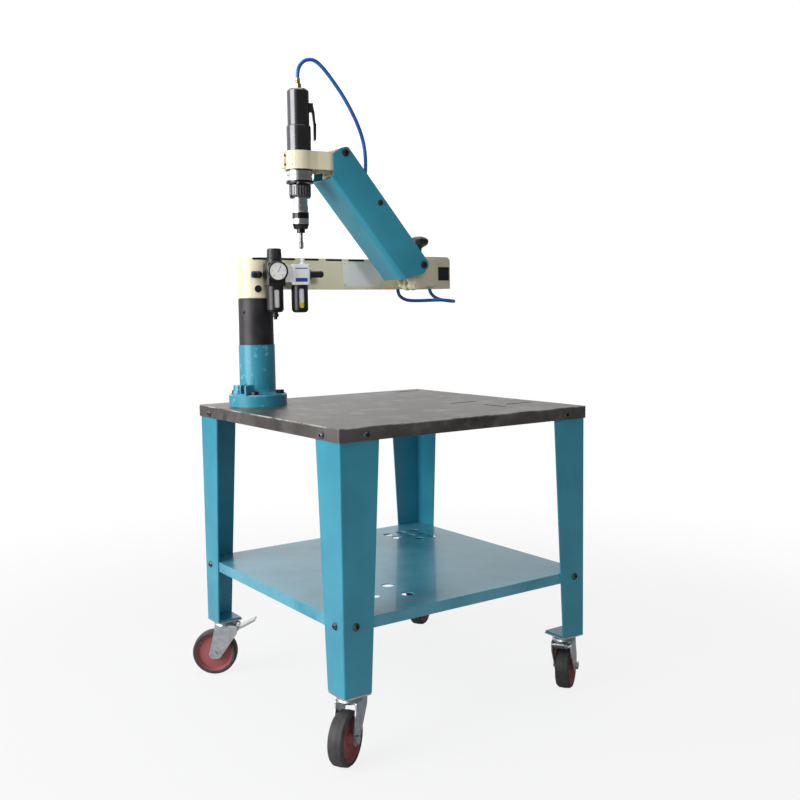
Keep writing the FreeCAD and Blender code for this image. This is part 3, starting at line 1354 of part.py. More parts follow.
def make_hose_tail():
    """Push-in union inside the arm where the motor's hose ends, on a strap between the links."""
    end = arm_point(hose_end_along, hose_end_aside) + V(0, arm_y, 0)
    lean = math.radians(hose_end_lean)
    aim = V(-math.sin(lean), 0, -math.cos(lean))
    body = rod(7.0, end, end + aim * 16)
    collar = rod(5.8, end - aim * 3, end).cut(rod(hose_radius, end - aim * 4, end))
    strap = rod(4.5, V(end.x, near_link + link_sheet, end.z) + aim * 10, V(end.x, far_link, end.z) + aim * 10)
    return joined(body, collar, strap)


PARTS = {
    "worktop": make_worktop,
    "shelf": make_shelf,
    "frame_bolts": make_frame_bolts,
    "caster_plates": make_caster_plates,
    "column_base": make_column_base,
    "column_sleeve": make_column_sleeve,
    "column_screws": make_column_screws,
    "column_bearings": make_column_bearings,
    "beam": make_beam,
    "beam_shaft": make_beam_shaft,
    "elbow_bearings": make_elbow_bearings,
    "air_fittings": make_air_fittings,
    "unit_bracket": make_unit_bracket,
    "regulator_body": make_regulator_body,
    "regulator_knob": make_regulator_knob,
    "pressure_gauge": make_gauge,
    "drain_knob": make_drain_knob,
    "lubricator_body": make_lubricator_body,
    "bowl_guards": make_bowl_guards,
    "clear_bowls": make_clear_bowls,
    "knuckle": make_knuckle,
    "end_plug": make_end_plug,
    "knuckle_pins": make_knuckle_pins,
    "lock_knob": make_lock_knob,
    "arm_cover": make_arm_cover,
    "upper_links": make_upper_links,
    "upper_pins": make_upper_pins,
    "lower_links": make_lower_links,
    "lower_pins": make_lower_pins,
    "spring_cylinder": make_spring_cylinder,
    "spring_rod": make_spring_rod,
    "head_bracket": make_head_bracket,
    "bracket_screws": make_bracket_screws,
    "motor_body": make_motor_body,
    "motor_fitting": make_motor_fitting,
    "motor_collar": make_motor_collar,
    "throttle_lever": make_throttle_lever,
    "spindle": make_spindle,
    "quick_sleeve": make_quick_sleeve,
    "tap": make_tap,
    "hose_union": make_hose_tail,
    "arm_hose": lambda: hose(ARM_HOSE, "arm_hose"),
    "loop_hose": lambda: hose(LOOP_HOSE, "loop_hose"),
}

os.makedirs("parts", exist_ok=True)
for corner, sx, sy in CORNERS:
    turn = CASTER_TURN[corner]
    make_leg(sx, sy).exportStep("parts/leg_%s.step" % corner)
    make_caster_fork(sx, sy, turn).exportStep("parts/caster_fork_%s.step" % corner)
    make_caster_wheel(sx, sy, turn).exportStep("parts/caster_wheel_%s.step" % corner)
    make_caster_pedal(sx, sy, turn).exportStep("parts/caster_pedal_%s.step" % corner)
for node, make in PARTS.items():
    shape = make()
    shape.exportStep("parts/%s.step" % node)
    print("%-18s %d solid(s) %9.0f mm3 valid %s" % (node, len(shape.Solids), shape.Volume, shape.isValid()))
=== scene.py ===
# %% [markdown]
# # Arm tapping machine on a wheeled bench
# The CAD model gives every rigid piece its true shape and place, and its joints.
# This lesson loads it, gives each piece its finish, and adds what a designer leaves out of
# the solids: the bare nameplate, the gauge's dial, the lubricator's bands and oil, one small
# screw, a hose nut and the air hoses. Dark strips in the beam's grooves are painted shade.

import json
import math

import bmesh
import bpy
from mathutils import Matrix, Vector


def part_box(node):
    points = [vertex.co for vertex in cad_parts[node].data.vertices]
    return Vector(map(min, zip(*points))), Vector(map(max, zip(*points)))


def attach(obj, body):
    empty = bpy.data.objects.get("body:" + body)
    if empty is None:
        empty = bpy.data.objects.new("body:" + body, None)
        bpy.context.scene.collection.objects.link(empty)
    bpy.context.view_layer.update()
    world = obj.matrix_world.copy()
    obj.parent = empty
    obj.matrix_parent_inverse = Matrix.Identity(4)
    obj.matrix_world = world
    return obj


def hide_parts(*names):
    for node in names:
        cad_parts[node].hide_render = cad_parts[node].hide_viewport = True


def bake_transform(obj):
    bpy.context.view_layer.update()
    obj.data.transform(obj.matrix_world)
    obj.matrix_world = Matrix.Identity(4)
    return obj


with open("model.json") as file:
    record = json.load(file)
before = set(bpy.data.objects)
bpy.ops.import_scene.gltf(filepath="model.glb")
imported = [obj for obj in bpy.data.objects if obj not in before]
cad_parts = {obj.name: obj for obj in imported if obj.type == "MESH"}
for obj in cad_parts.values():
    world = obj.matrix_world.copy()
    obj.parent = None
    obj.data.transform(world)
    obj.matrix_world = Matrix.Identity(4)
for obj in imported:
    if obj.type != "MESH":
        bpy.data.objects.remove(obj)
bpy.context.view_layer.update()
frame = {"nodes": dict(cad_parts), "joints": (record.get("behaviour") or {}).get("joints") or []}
nodes = frame["nodes"]


CORNERS = ("front_left", "front_right", "back_left", "back_right")
MM = 0.001

# %% [markdown]
# ## A recipe for finishes
# Real paint and metal are never one flat colour. Every finish here mixes two close tones
# with soft noise, lets the roughness wander a little, and raises a fine grain with a bump.
# The noise is read in metres on the object, so the grain has one true scale everywhere.

# %% Noise in metres
def object_place(tree):
    """Coordinates of the point on the object, in metres."""
    return tree.nodes.new("ShaderNodeTexCoord").outputs["Object"]


def noise_of(tree, size, detail):
    """Soft noise whose waves are `size` metres wide."""
    made = tree.nodes.new("ShaderNodeTexNoise")
    made.inputs["Scale"].default_value = 1 / size
    made.inputs["Detail"].default_value = detail
    tree.links.new(object_place(tree), made.inputs["Vector"])
    return made.outputs["Fac"]


PATCH_DETAIL, SPECK_DETAIL, GRAIN_DETAIL = 6, 5, 3
print("noise details:", PATCH_DETAIL, SPECK_DETAIL, GRAIN_DETAIL)

# %% The recipe
SHADE_UP_TO, TONE_FROM = 0.35, 0.65
GRAIN_DEPTH = 0.2


def grained(name, tone, shade, patch, rough, grain, lift, metal=0.0):
    """Two tones in patches `patch` metres wide, with a bump of `grain` metres."""
    made = bpy.data.materials.new(name)
    made.use_nodes = True
    tree = made.node_tree
    shader = tree.nodes["Principled BSDF"]
    shader.inputs["Metallic"].default_value = metal
    patches = noise_of(tree, patch, PATCH_DETAIL)
    tones = tree.nodes.new("ShaderNodeValToRGB")
    tones.color_ramp.elements[0].position = SHADE_UP_TO
    tones.color_ramp.elements[0].color = (*shade, 1)
    tones.color_ramp.elements[1].position = TONE_FROM
    tones.color_ramp.elements[1].color = (*tone, 1)
    tree.links.new(patches, tones.inputs["Fac"])
    tree.links.new(tones.outputs["Color"], shader.inputs["Base Color"])
    wander = tree.nodes.new("ShaderNodeMapRange")
    wander.inputs["To Min"].default_value = rough[0]
    wander.inputs["To Max"].default_value = rough[1]
    tree.links.new(patches, wander.inputs["Value"])
    tree.links.new(wander.outputs["Result"], shader.inputs["Roughness"])
    bump = tree.nodes.new("ShaderNodeBump")
    bump.inputs["Strength"].default_value = lift
    bump.inputs["Distance"].default_value = grain * GRAIN_DEPTH
    tree.links.new(noise_of(tree, grain, GRAIN_DETAIL), bump.inputs["Height"])
    tree.links.new(bump.outputs["Normal"], shader.inputs["Normal"])
    return made


def set_shader(finish, socket, value):
    """Set one of the shader's own sockets, such as its clear coat."""
    finish.node_tree.nodes["Principled BSDF"].inputs[socket].default_value = value


print("grain depth:", GRAIN_DEPTH, "of its width")

# %% Dressing the CAD nodes
def at_corners(start):
    """Names of the four nodes at the bench's corners."""
    return [start + corner for corner in CORNERS]


def dress(finish, *names):
    """Give CAD nodes their finish."""
    for name in names:
        node = nodes[name]
        if not node.material_slots:
            node.data.materials.append(finish)
        for place in node.material_slots:
            place.material = finish
    print(finish.name, "on", len(names), "node(s)")


print("legs:", at_corners("leg_"))

# %% [markdown]
# ## Two finishes on one solid
# Paint chips, worn edges and bands of another colour lie on the same solid as the finish
# round them. A mask tells the two apart: a number between nought and one for every point,
# worked out from the point's own place on the object. These helpers build such masks.

# %% Sums on sockets
def combined(tree, kind, operation, *given):
    """Outputs of a math node that is fed by sockets or by plain numbers."""
    made = tree.nodes.new(kind)
    made.operation = operation
    for slot, value in zip(made.inputs, given):
        if isinstance(value, bpy.types.NodeSocket):
            tree.links.new(value, slot)
        else:
            slot.default_value = value
    return made.outputs


def number_of(tree, operation, *given):
    """Number worked out from numbers."""
    return combined(tree, "ShaderNodeMath", operation, *given)["Value"]


def vector_of(tree, operation, *given):
    """Vector worked out from vectors."""
    return combined(tree, "ShaderNodeVectorMath", operation, *given)["Vector"]


def measure_of(tree, operation, *given):
    """Number worked out from vectors, such as a length."""
    return combined(tree, "ShaderNodeVectorMath", operation, *given)["Value"]


def axes_of(tree):
    """X, Y and Z of the point on the object, as three sockets."""
    made = tree.nodes.new("ShaderNodeSeparateXYZ")
    tree.links.new(object_place(tree), made.inputs["Vector"])
    return made.outputs


# %% Masks
def ramp(tree, value, start, end):
    """Nought at `start`, one at `end`, smooth between."""
    made = tree.nodes.new("ShaderNodeMapRange")
    made.interpolation_type = "SMOOTHSTEP"
    made.inputs["From Min"].default_value = start
    made.inputs["From Max"].default_value = end
    tree.links.new(value, made.inputs["Value"])
    return made.outputs["Result"]


def near_point(tree, spot, radius):
    """One inside a ball round a point."""
    away = measure_of(tree, "DISTANCE", object_place(tree), spot)
    return number_of(tree, "LESS_THAN", away, radius)


def specks(tree, size, from_level, to_level):
    """Irregular spots: the high parts of a noise of the given size."""
    return ramp(tree, noise_of(tree, size, SPECK_DETAIL), from_level, to_level)


def second_tone(finish, mask, colour):
    """Mix another colour over a finish where the mask is one."""
    tree = finish.node_tree
    base = tree.nodes["Principled BSDF"].inputs["Base Color"]
    before = base.links[0].from_socket
    mixed = tree.nodes.new("ShaderNodeMix")
    mixed.data_type = "RGBA"
    mixed.inputs["B"].default_value = (*colour, 1)
    tree.links.new(mask, mixed.inputs["Factor"])
    tree.links.new(before, mixed.inputs["A"])
    tree.links.new(mixed.outputs["Result"], base)
    return finish


# %% [markdown]
# ## Enamel
# Column foot, legs, shelf and arm cover share one teal-blue enamel. The castings above are
# cream, and the lower links and their pins are painted over with them. Sprayed enamel is
# smooth with a faint orange peel, so the grain is millimetres wide and very low, and a thin
# clear coat gives the sheen on the folds. The column foot is an old casting, so it has the
# same enamel with small pale chips, and the shelf has broad paler patches.

# %% Teal and cream enamel
TEAL_COAT, CREAM_COAT = 0.25, 0.20


def teal_paint(name):
    """Teal-blue sprayed enamel."""
    made = grained(name, (0.044, 0.350, 0.485), (0.034, 0.295, 0.415), 0.09,
                   (0.28, 0.40), 0.0024, 0.10)
    set_shader(made, "Coat Weight", TEAL_COAT)
    return made


teal = teal_paint("teal_enamel")
chipped = teal_paint("chipped_teal")
second_tone(chipped, specks(chipped.node_tree, 0.016, 0.60, 0.66), (0.18, 0.50, 0.60))
# The shelf's enamel takes broad paler patches at random.
pale_patched = teal_paint("dusty_teal")
second_tone(pale_patched, specks(pale_patched.node_tree, 0.090, 0.20, 0.80), (0.140, 0.430, 0.560))
cream = grained("cream_enamel", (0.880, 0.810, 0.590), (0.830, 0.755, 0.530), 0.06,
                (0.32, 0.46), 0.0020, 0.14)
set_shader(cream, "Coat Weight", CREAM_COAT)
dress(teal, "arm_cover", *at_corners("leg_"))
dress(pale_patched, "shelf")
dress(chipped, "column_base")
dress(cream, "beam", "knuckle", "head_bracket", "lower_links", "lower_pins")

# %% [markdown]
# ## Worktop
# The worktop is raw plate, brown with handling. Work has scuffed it paler in patches, and
# years of hands have polished its upper edge bright, so two masks lie over the plate: broad
# specks, and a thin band where a point is close to the edge at the top.

# %% Worn plate
WORN_FROM_SIDE = (0.0040, 0.0016)
WORN_FROM_TOP = (0.0032, 0.0012)
plate = grained("worn_plate", (0.150, 0.135, 0.125), (0.062, 0.055, 0.052), 0.11,
                (0.30, 0.52), 0.0016, 0.22, metal=0.45)
tree = plate.node_tree
second_tone(plate, specks(tree, 0.045, 0.46, 0.80), (0.215, 0.203, 0.192))
top_low, top_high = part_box("worktop")
place_x, place_y, place_z = axes_of(tree)
outward = number_of(tree, "MAXIMUM", number_of(tree, "ABSOLUTE", place_x),
                    number_of(tree, "ABSOLUTE", place_y))
near_side = ramp(tree, outward, *(top_high.x - depth for depth in WORN_FROM_SIDE))
near_top = ramp(tree, place_z, *(top_high.z - depth for depth in WORN_FROM_TOP))
edge = number_of(tree, "MULTIPLY", near_side, near_top)
patchy = number_of(tree, "MULTIPLY", edge, specks(tree, 0.05, 0.40, 0.60))
second_tone(plate, patchy, (0.44, 0.43, 0.41))
dress(plate, "worktop")
print("worktop", [round(v / MM) for v in top_high - top_low], "mm")

# %% [markdown]
# ## Bare and blackened steel
# Links, bearings and the bracket's screws are machined steel. The column's sleeve and its
# screws, the upper pins and the spring's cylinder are blackened and dull. The chuck's
# sliding ring, the motor with its lever and the bench's bolts are blued and polished: they
# are dark because little is reflected, and bright where a lamp is. The casters' pressed
# parts are zinc plated.

# %% Steels
machined = grained("machined_steel", (0.48, 0.48, 0.49), (0.36, 0.36, 0.37), 0.02,
                   (0.28, 0.42), 0.0006, 0.10, metal=1.0)
bright = grained("bright_steel", (0.78, 0.78, 0.79), (0.64, 0.64, 0.66), 0.03,
                 (0.14, 0.26), 0.0005, 0.05, metal=1.0)
hard = grained("tool_steel", (0.30, 0.29, 0.28), (0.20, 0.19, 0.19), 0.008,
               (0.26, 0.40), 0.0004, 0.10, metal=0.9)
blackened = grained("blackened_steel", (0.055, 0.052, 0.056), (0.036, 0.034, 0.038), 0.03,
                    (0.36, 0.54), 0.0009, 0.18, metal=0.6)
blued = grained("blued_steel", (0.125, 0.123, 0.128), (0.105, 0.103, 0.108), 0.03,
                (0.14, 0.24), 0.0006, 0.04, metal=1.0)
zinc = grained("zinc_plate", (0.66, 0.67, 0.68), (0.50, 0.51, 0.53), 0.012,
               (0.26, 0.44), 0.0010, 0.10, metal=1.0)
brass = grained("turned_brass", (0.78, 0.52, 0.18), (0.62, 0.40, 0.13), 0.01,
                (0.22, 0.34), 0.0005, 0.08, metal=1.0)
dress(machined, "column_bearings", "beam_shaft", "elbow_bearings", "knuckle_pins",
      "upper_links", "bracket_screws")
dress(blackened, "column_screws", "column_sleeve", "upper_pins", "spring_cylinder")
dress(blued, "quick_sleeve", "motor_body", "throttle_lever", "frame_bolts")
dress(bright, "spring_rod")
dress(hard, "tap")
dress(zinc, "caster_plates", *at_corners("caster_fork_"), *at_corners("caster_pedal_"))
dress(brass, "motor_fitting")

# %% [markdown]
# ## Mouldings
# The air unit, the lock knob and the plugs are black plastic, slightly glossy. The
# lubricator's body and the unit's bracket are white. Both finishes take the same recipe as
# the steels, without the metal.

# %% Mouldings
def black_plastic(name):
    """Black, slightly glossy moulding."""
    return grained(name, (0.016, 0.016, 0.017), (0.010, 0.010, 0.011), 0.02,
                   (0.24, 0.38), 0.0008, 0.12)


moulding = black_plastic("black_moulding")
white = grained("white_enamel", (0.84, 0.85, 0.85), (0.78, 0.79, 0.79), 0.03,
                (0.26, 0.38), 0.0015, 0.08)
dress(moulding, "regulator_body", "regulator_knob", "pressure_gauge", "drain_knob",
      "bowl_guards", "lock_knob", "end_plug", "hose_union")
dress(white, "lubricator_body", "unit_bracket")

# %% [markdown]
# ## Milky bowls
# The bowls are milky, and the lubricator's bowl is yellow up to the level of its oil. Both
# bowls are one node, so one mask by height and one by distance from the lubricator's axis
# pick that place out.

# %% Milky bowls with an oil level
UNIT_FOOT = (-0.188, 0.1365, 0)
UNIT_TURN = math.radians(-15)
UNIT = Matrix.Translation(UNIT_FOOT) @ Matrix.Rotation(UNIT_TURN, 4, "Z")
BOWL_PITCH = 0.054
OIL_LEVEL = 0.022
OIL_REACH = 0.030
bowl_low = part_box("bowl_guards")[0].z
milky = grained("milky_bowl", (0.88, 0.90, 0.90), (0.82, 0.84, 0.84), 0.02,
                (0.10, 0.18), 0.0020, 0.04)
set_shader(milky, "Transmission Weight", 0.20)
tree = milky.node_tree
below = number_of(tree, "LESS_THAN", axes_of(tree)["Z"], bowl_low + OIL_LEVEL)
oiled = near_point(tree, UNIT @ Vector((BOWL_PITCH, 0, bowl_low)), OIL_REACH)
second_tone(milky, number_of(tree, "MULTIPLY", below, oiled), (0.82, 0.72, 0.03))
dress(milky, "clear_bowls")

# %% [markdown]
# ## Air fittings
# The elbows and plugs are black mouldings. The push-in elbow on the beam's root has a blue
# release ring, picked out by its distance from the ring's middle.

# %% Blue release ring
COLUMN_X = -0.203
BEAM_ROOT = Vector((COLUMN_X, 0.200, 0.8958))
ELBOW_TURN = math.radians(253)
RING_OUT, RING_ASIDE, RING_RADIUS = 0.049, 0.0150, 0.0078
elbow_way = Vector((math.cos(ELBOW_TURN), math.sin(ELBOW_TURN), 0))
ring_way = Vector((elbow_way.y, -elbow_way.x, 0))
ring_middle = BEAM_ROOT + elbow_way * RING_OUT + ring_way * RING_ASIDE
release = black_plastic("fitting_with_blue_ring")
in_ring = near_point(release.node_tree, ring_middle, RING_RADIUS)
second_tone(release, in_ring, (0.020, 0.060, 0.420))
dress(release, "air_fittings")

# %% [markdown]
# ## Wheels
# One solid can carry two finishes. A wheel is dark tread outside and a dusty red centre,
# told apart by the distance from its axle: the length of the cross product of the place,
# measured from the wheel's centre, with the axle's direction.

# %% Wheels by radius
WHEEL_CENTRE = 0.041


def wheel_finish(corner):
    """Dark tread round a dusty red centre."""
    axle = next(j for j in frame["joints"] if j["name"] == "roll_" + corner)["axis"]
    low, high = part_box("caster_wheel_" + corner)
    made = grained("wheel_" + corner, (0.060, 0.055, 0.055), (0.035, 0.032, 0.032), 0.02,
                   (0.50, 0.70), 0.0012, 0.20)
    tree = made.node_tree
    away = vector_of(tree, "SUBTRACT", object_place(tree), (low + high) / 2)
    from_axle = measure_of(tree, "LENGTH", vector_of(tree, "CROSS_PRODUCT", away, axle))
    inside = number_of(tree, "LESS_THAN", from_axle, WHEEL_CENTRE)
    return second_tone(made, inside, (0.36, 0.10, 0.10))


for corner in CORNERS:
    dress(wheel_finish(corner), "caster_wheel_" + corner)

# %% [markdown]
# ## Chuck and collar
# Both are bright turned steel with dark bands, and each is one solid. A turned part changes
# with its height alone, so every band is a mask between two heights.

# %% Bright steel with dark bands by height
DARK = (0.045, 0.045, 0.048)


def banded(name, node, bands):
    """Bright turned steel with dark bands between heights measured up from the node's foot."""
    made = grained(name, (0.74, 0.74, 0.75), (0.60, 0.60, 0.62), 0.03,
                   (0.14, 0.26), 0.0005, 0.05, metal=1.0)
    tree = made.node_tree
    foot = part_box(node)[0].z
    for low, high in bands:
        middle = foot + (low + high) / 2
        band = number_of(tree, "COMPARE", axes_of(tree)["Z"], middle, (high - low) / 2)
        second_tone(made, band, DARK)
    dress(made, node)


banded("banded_chuck", "spindle", [(-0.001, 0.0175), (0.0285, 0.0403)])
banded("banded_collar", "motor_collar", [(-0.001, 0.0047)])

# %% [markdown]
# ## Small pieces in mesh code
# Plates, discs and the dark groove strips are built point by point with bmesh. Two helpers
# make the mesh, and a third gives it a finish and seats it on its body.

# %% Mesh helpers
def piece(name, mesh, finish, body, smooth=False):
    """Object from a bmesh, dressed and riding on its body."""
    data = bpy.data.meshes.new(name)
    mesh.to_mesh(data)
    mesh.free()
    data.materials.append(finish)
    if smooth:
        data.shade_smooth()
    made = bpy.data.objects.new(name, data)
    bpy.context.collection.objects.link(made)
    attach(made, body)


def slab(size, spot, edge=0.0):
    """Block with bevelled edges, centred on `spot`."""
    mesh = bmesh.new()
    bmesh.ops.create_cube(mesh, size=1, matrix=spot @ Matrix.Diagonal((*size, 1)))
    if edge:
        bmesh.ops.bevel(mesh, geom=mesh.edges[:], offset=edge, segments=2, affect="EDGES")
    return mesh


def lathe(profile, spot, steps=48):
    """Solid of revolution about Z from (radius, height) points, placed by `spot`."""
    mesh = bmesh.new()
    corners = [mesh.verts.new((r, 0, h)) for r, h in profile]
    edges = [mesh.edges.new(pair) for pair in zip(corners, corners[1:])]
    bmesh.ops.spin(mesh, geom=corners + edges, cent=(0, 0, 0), axis=(0, 0, 1),
                   angle=math.tau, steps=steps)
    bmesh.ops.remove_doubles(mesh, verts=mesh.verts[:], dist=1e-6)
    bmesh.ops.recalc_face_normals(mesh, faces=mesh.faces[:])
    bmesh.ops.transform(mesh, matrix=spot, verts=mesh.verts[:])
    return mesh


TO_FRONT = Matrix.Rotation(math.pi / 2, 4, "X")
print("a lathed piece's axis after the turn:", [round(v) for v in TO_FRONT.col[2][:3]])

# %% [markdown]
# ## Nameplate
# A thin pale plate is riveted to the beam's front face. It is left bare: the bevelled edge
# and the four rivets are what make it read as a plate.

# %% Bare nameplate
BEAM_FACE_Y = 0.165
PLATE_LOW, PLATE_HIGH = Vector((0.001, 0, 0.871)), Vector((0.104, 0, 0.926))
PLATE_THICK, PLATE_OUT, PLATE_BEVEL = 0.0008, 0.0003, 0.0003
RIVET_INSET = 0.004
plate_size = PLATE_HIGH - PLATE_LOW
plate_centre = (PLATE_LOW + PLATE_HIGH) / 2 + Vector((0, BEAM_FACE_Y - PLATE_OUT, 0))
bare = grained("bare_plate", (0.93, 0.92, 0.88), (0.90, 0.89, 0.85), 0.03,
               (0.20, 0.30), 0.0010, 0.04)
sheet = slab((plate_size.x, PLATE_THICK, plate_size.z), Matrix.Translation(plate_centre),
             PLATE_BEVEL)
piece("nameplate", sheet, bare, "beam")
rivet = [(0, 0.0009), (0.0009, 0.0007), (0.0015, 0.0), (0.0, 0.0)]
for way_x, side in ((-1, "left"), (1, "right")):
    for way_z, level in ((-1, "low"), (1, "high")):
        offset = Vector((way_x * (plate_size.x / 2 - RIVET_INSET), -PLATE_THICK / 2,
                         way_z * (plate_size.z / 2 - RIVET_INSET)))
        spot = Matrix.Translation(plate_centre + offset) @ TO_FRONT
        piece("nameplate_rivet_%s_%s" % (side, level), lathe(rivet, spot, 20), machined,
              "beam", smooth=True)
print("nameplate", round(plate_size.x / MM), "by", round(plate_size.z / MM), "mm")

# %% [markdown]
# ## Gauge dial
# The dial sits in the gauge's recess: a white disc, ticks round three quarters of a turn,
# plain numbers and a needle. The unit is turned fifteen degrees, so everything is built
# upright in the dial's own frame and then placed with one matrix.

# %% Dial frame and face
DIAL_AHEAD = 0.0046
DIAL_RADIUS = 0.0178
low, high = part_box("pressure_gauge")
facing = Vector((math.sin(UNIT_TURN), -math.cos(UNIT_TURN), 0))
dial_centre = (low + high) / 2 + facing * DIAL_AHEAD
dial = Matrix.Translation(dial_centre) @ Matrix.Rotation(UNIT_TURN, 4, "Z") @ TO_FRONT
dial_white = grained("dial_white", (0.86, 0.86, 0.84), (0.82, 0.82, 0.80), 0.02,
                     (0.22, 0.30), 0.0010, 0.03)
ink = grained("dial_ink", (0.02, 0.02, 0.02), (0.03, 0.03, 0.03), 0.01,
              (0.40, 0.50), 0.0010, 0.02)
face = [(0, 0.0006), (DIAL_RADIUS - 0.0004, 0.0006), (DIAL_RADIUS, 0.0002),
        (DIAL_RADIUS, 0), (0, 0)]
piece("gauge_dial", lathe(face, dial), dial_white, "beam")
print("dial at", [round(v, 4) for v in dial_centre])

# %% Ticks
START, SWEEP, STEPS = math.radians(225), math.radians(270), 20
LONG_EVERY = 4
LONG_TICK, SHORT_TICK = (0.0026, 0.0005), (0.0014, 0.0003)
DIAL_RIM = 0.0014
MARK_HEIGHT, MARK_THICK = 0.0007, 0.0002
marks = bmesh.new()
for step in range(STEPS + 1):
    reach, width = SHORT_TICK if step % LONG_EVERY else LONG_TICK
    spot = dial @ Matrix.Rotation(START - SWEEP * step / STEPS, 4, "Z") @ Matrix.Translation(
        (DIAL_RADIUS - DIAL_RIM - reach / 2, 0, MARK_HEIGHT))
    bmesh.ops.create_cube(marks, size=1,
                          matrix=spot @ Matrix.Diagonal((reach, width, MARK_THICK, 1)))
piece("gauge_ticks", marks, ink, "beam")
print("ticks:", STEPS + 1)

# %% Needle and hub
NEEDLE_TURN = math.radians(60)
NEEDLE_SIZE = (0.0138, 0.0008, 0.0003)
NEEDLE_OUT, NEEDLE_HEIGHT = 0.0042, 0.0011
HUB_HEIGHT = 0.0004
needle_spot = dial @ Matrix.Rotation(NEEDLE_TURN, 4, "Z") @ Matrix.Translation(
    (NEEDLE_OUT, 0, NEEDLE_HEIGHT))
piece("gauge_needle", slab(NEEDLE_SIZE, needle_spot), ink, "beam")
hub = [(0, 0.0012), (0.0011, 0.0011), (0.0014, 0.0004), (0, 0.0004)]
hub_spot = dial @ Matrix.Translation((0, 0, HUB_HEIGHT))
piece("gauge_hub", lathe(hub, hub_spot, 20), machined, "beam", smooth=True)
print("needle", round(NEEDLE_SIZE[0] / MM, 1), "mm long")

# %% Numbers
NUMBER_TALL, NUMBER_THICK, NUMBER_INSET = 0.0040, 0.0001, 0.0062


def dial_number(words, angle):
    """One plain number, as a mesh, on the dial."""
    text = bpy.data.curves.new("number", "FONT")
    text.body = words
    text.size = NUMBER_TALL
    text.align_x = text.align_y = "CENTER"
    text.extrude = NUMBER_THICK
    holder = bpy.data.objects.new("number", text)
    bpy.context.collection.objects.link(holder)
    bpy.context.view_layer.update()
    mesh = bmesh.new()
    mesh.from_mesh(bpy.data.meshes.new_from_object(holder))
    bpy.data.objects.remove(holder)
    reach = DIAL_RADIUS - NUMBER_INSET
    spot = dial @ Matrix.Translation((reach * math.cos(angle), reach * math.sin(angle),
                                      MARK_HEIGHT))
    bmesh.ops.transform(mesh, matrix=spot, verts=mesh.verts[:])
    piece("gauge_number_" + words, mesh, ink, "beam")


for step in range(0, STEPS + 1, LONG_EVERY):
    dial_number(str(step // 2), START - SWEEP * step / STEPS)
print("numbers up to", STEPS // 2)

# %% [markdown]
# ## Lubricator trim and oil
# A thin and a broad plain blue band cross the lubricator's white body, and yellow oil stands
# in its bowl. The oil is a solid of revolution just inside the bowl's wall, up to the level
# at which the bowl's finish turns yellow.

# %% Blue bands
BAND_WIDE, BAND_THICK, BAND_BEVEL = 0.026, 0.0006, 0.0002
BAND_FRONT = -0.0201
BANDS = (("thin", 0.0130, 0.0022), ("broad", 0.0375, 0.0080))
blue = grained("blue_band", (0.030, 0.070, 0.330), (0.024, 0.055, 0.270), 0.01,
               (0.30, 0.40), 0.0010, 0.04)
body_low, body_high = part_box("lubricator_body")
for name, down, tall in BANDS:
    spot = UNIT @ Matrix.Translation((BOWL_PITCH, BAND_FRONT, body_high.z - down))
    piece("lubricator_band_" + name, slab((BAND_WIDE, BAND_THICK, tall), spot, BAND_BEVEL),
          blue, "beam")
print("lubricator body", round((body_high - body_low).z / MM), "mm tall")

# %% Oil
OIL_FOOT, OIL_RADIUS = 0.0075, 0.0120
oil = grained("oil", (0.86, 0.72, 0.05), (0.78, 0.62, 0.04), 0.01, (0.08, 0.14), 0.0010, 0.02)
set_shader(oil, "Transmission Weight", 0.25)
fill = [(0, OIL_FOOT), (0.0080, OIL_FOOT), (OIL_RADIUS, 0.0125), (OIL_RADIUS, OIL_LEVEL),
        (0, OIL_LEVEL)]
spot = UNIT @ Matrix.Translation((BOWL_PITCH, 0, bowl_low))
piece("lubricator_oil", lathe(fill, spot), oil, "beam", smooth=True)
print("oil", round((OIL_LEVEL - OIL_FOOT) / MM, 1), "mm deep")

# %% [markdown]
# ## Screw in the knuckle's face
# One small dark round-head screw sits in the knuckle's front face beside the arm. It is a
# lathed dome with a socket sunk in the middle, laid on its side against the face.

# %% Knuckle screw
KNUCKLE_SCREW = Vector((0.2400, 0.157, 0.9085))
SCREW_RADIUS, SOCKET_RADIUS = 0.0024, 0.0010
dome = [(0, 0.0004), (SOCKET_RADIUS, 0.0004), (SOCKET_RADIUS, 0.0012), (0.0018, 0.0010),
        (SCREW_RADIUS, 0.0004), (SCREW_RADIUS, 0)]
spot = Matrix.Translation(KNUCKLE_SCREW) @ TO_FRONT
piece("knuckle_screw", lathe(dome, spot, 28), moulding, "knuckle", smooth=True)
print("screw", round(2 * SCREW_RADIUS / MM, 1), "mm wide")

# %% [markdown]
# ## Dark strips in the beam's grooves, as painted shade
# Short dark strips sit in the grooves along the beam's upper edges as painted shade: they
# stand for the shade inside the grooves. Each is a thin bevelled bar, a little below the
# face, at the same pitch as the grooves.

# %% Dark strips in the grooves, as painted shade
GROOVE_PITCH, GROOVES = 0.060, 7
GROOVE_LENGTH, GROOVE_HEIGHT, GROOVE_DOWN = 0.043, 0.0045, 0.0015
STRIP_THICK, STRIP_BEVEL = 0.002, 0.0004
PLAY_ALONG, PLAY_ACROSS = 0.001, 0.0006
STRIP_ROWS = (("front", 0.1665), ("back", 0.2335))
beam_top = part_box("beam")[1].z
for name, row_y in STRIP_ROWS:
    for k in range(GROOVES):
        middle = Vector((COLUMN_X + GROOVE_PITCH * k, row_y,
                         beam_top - GROOVE_DOWN - GROOVE_HEIGHT / 2))
        strip = slab((GROOVE_LENGTH - PLAY_ALONG, STRIP_THICK, GROOVE_HEIGHT - PLAY_ACROSS),
                     Matrix.Translation(middle), STRIP_BEVEL)
        # Each strip is painted shade: a dark bar where the groove's shade falls.
        piece("beam_strip_%s_%d" % (name, k + 1), strip, moulding, "beam")
print("strips:", len(STRIP_ROWS) * GROOVES)
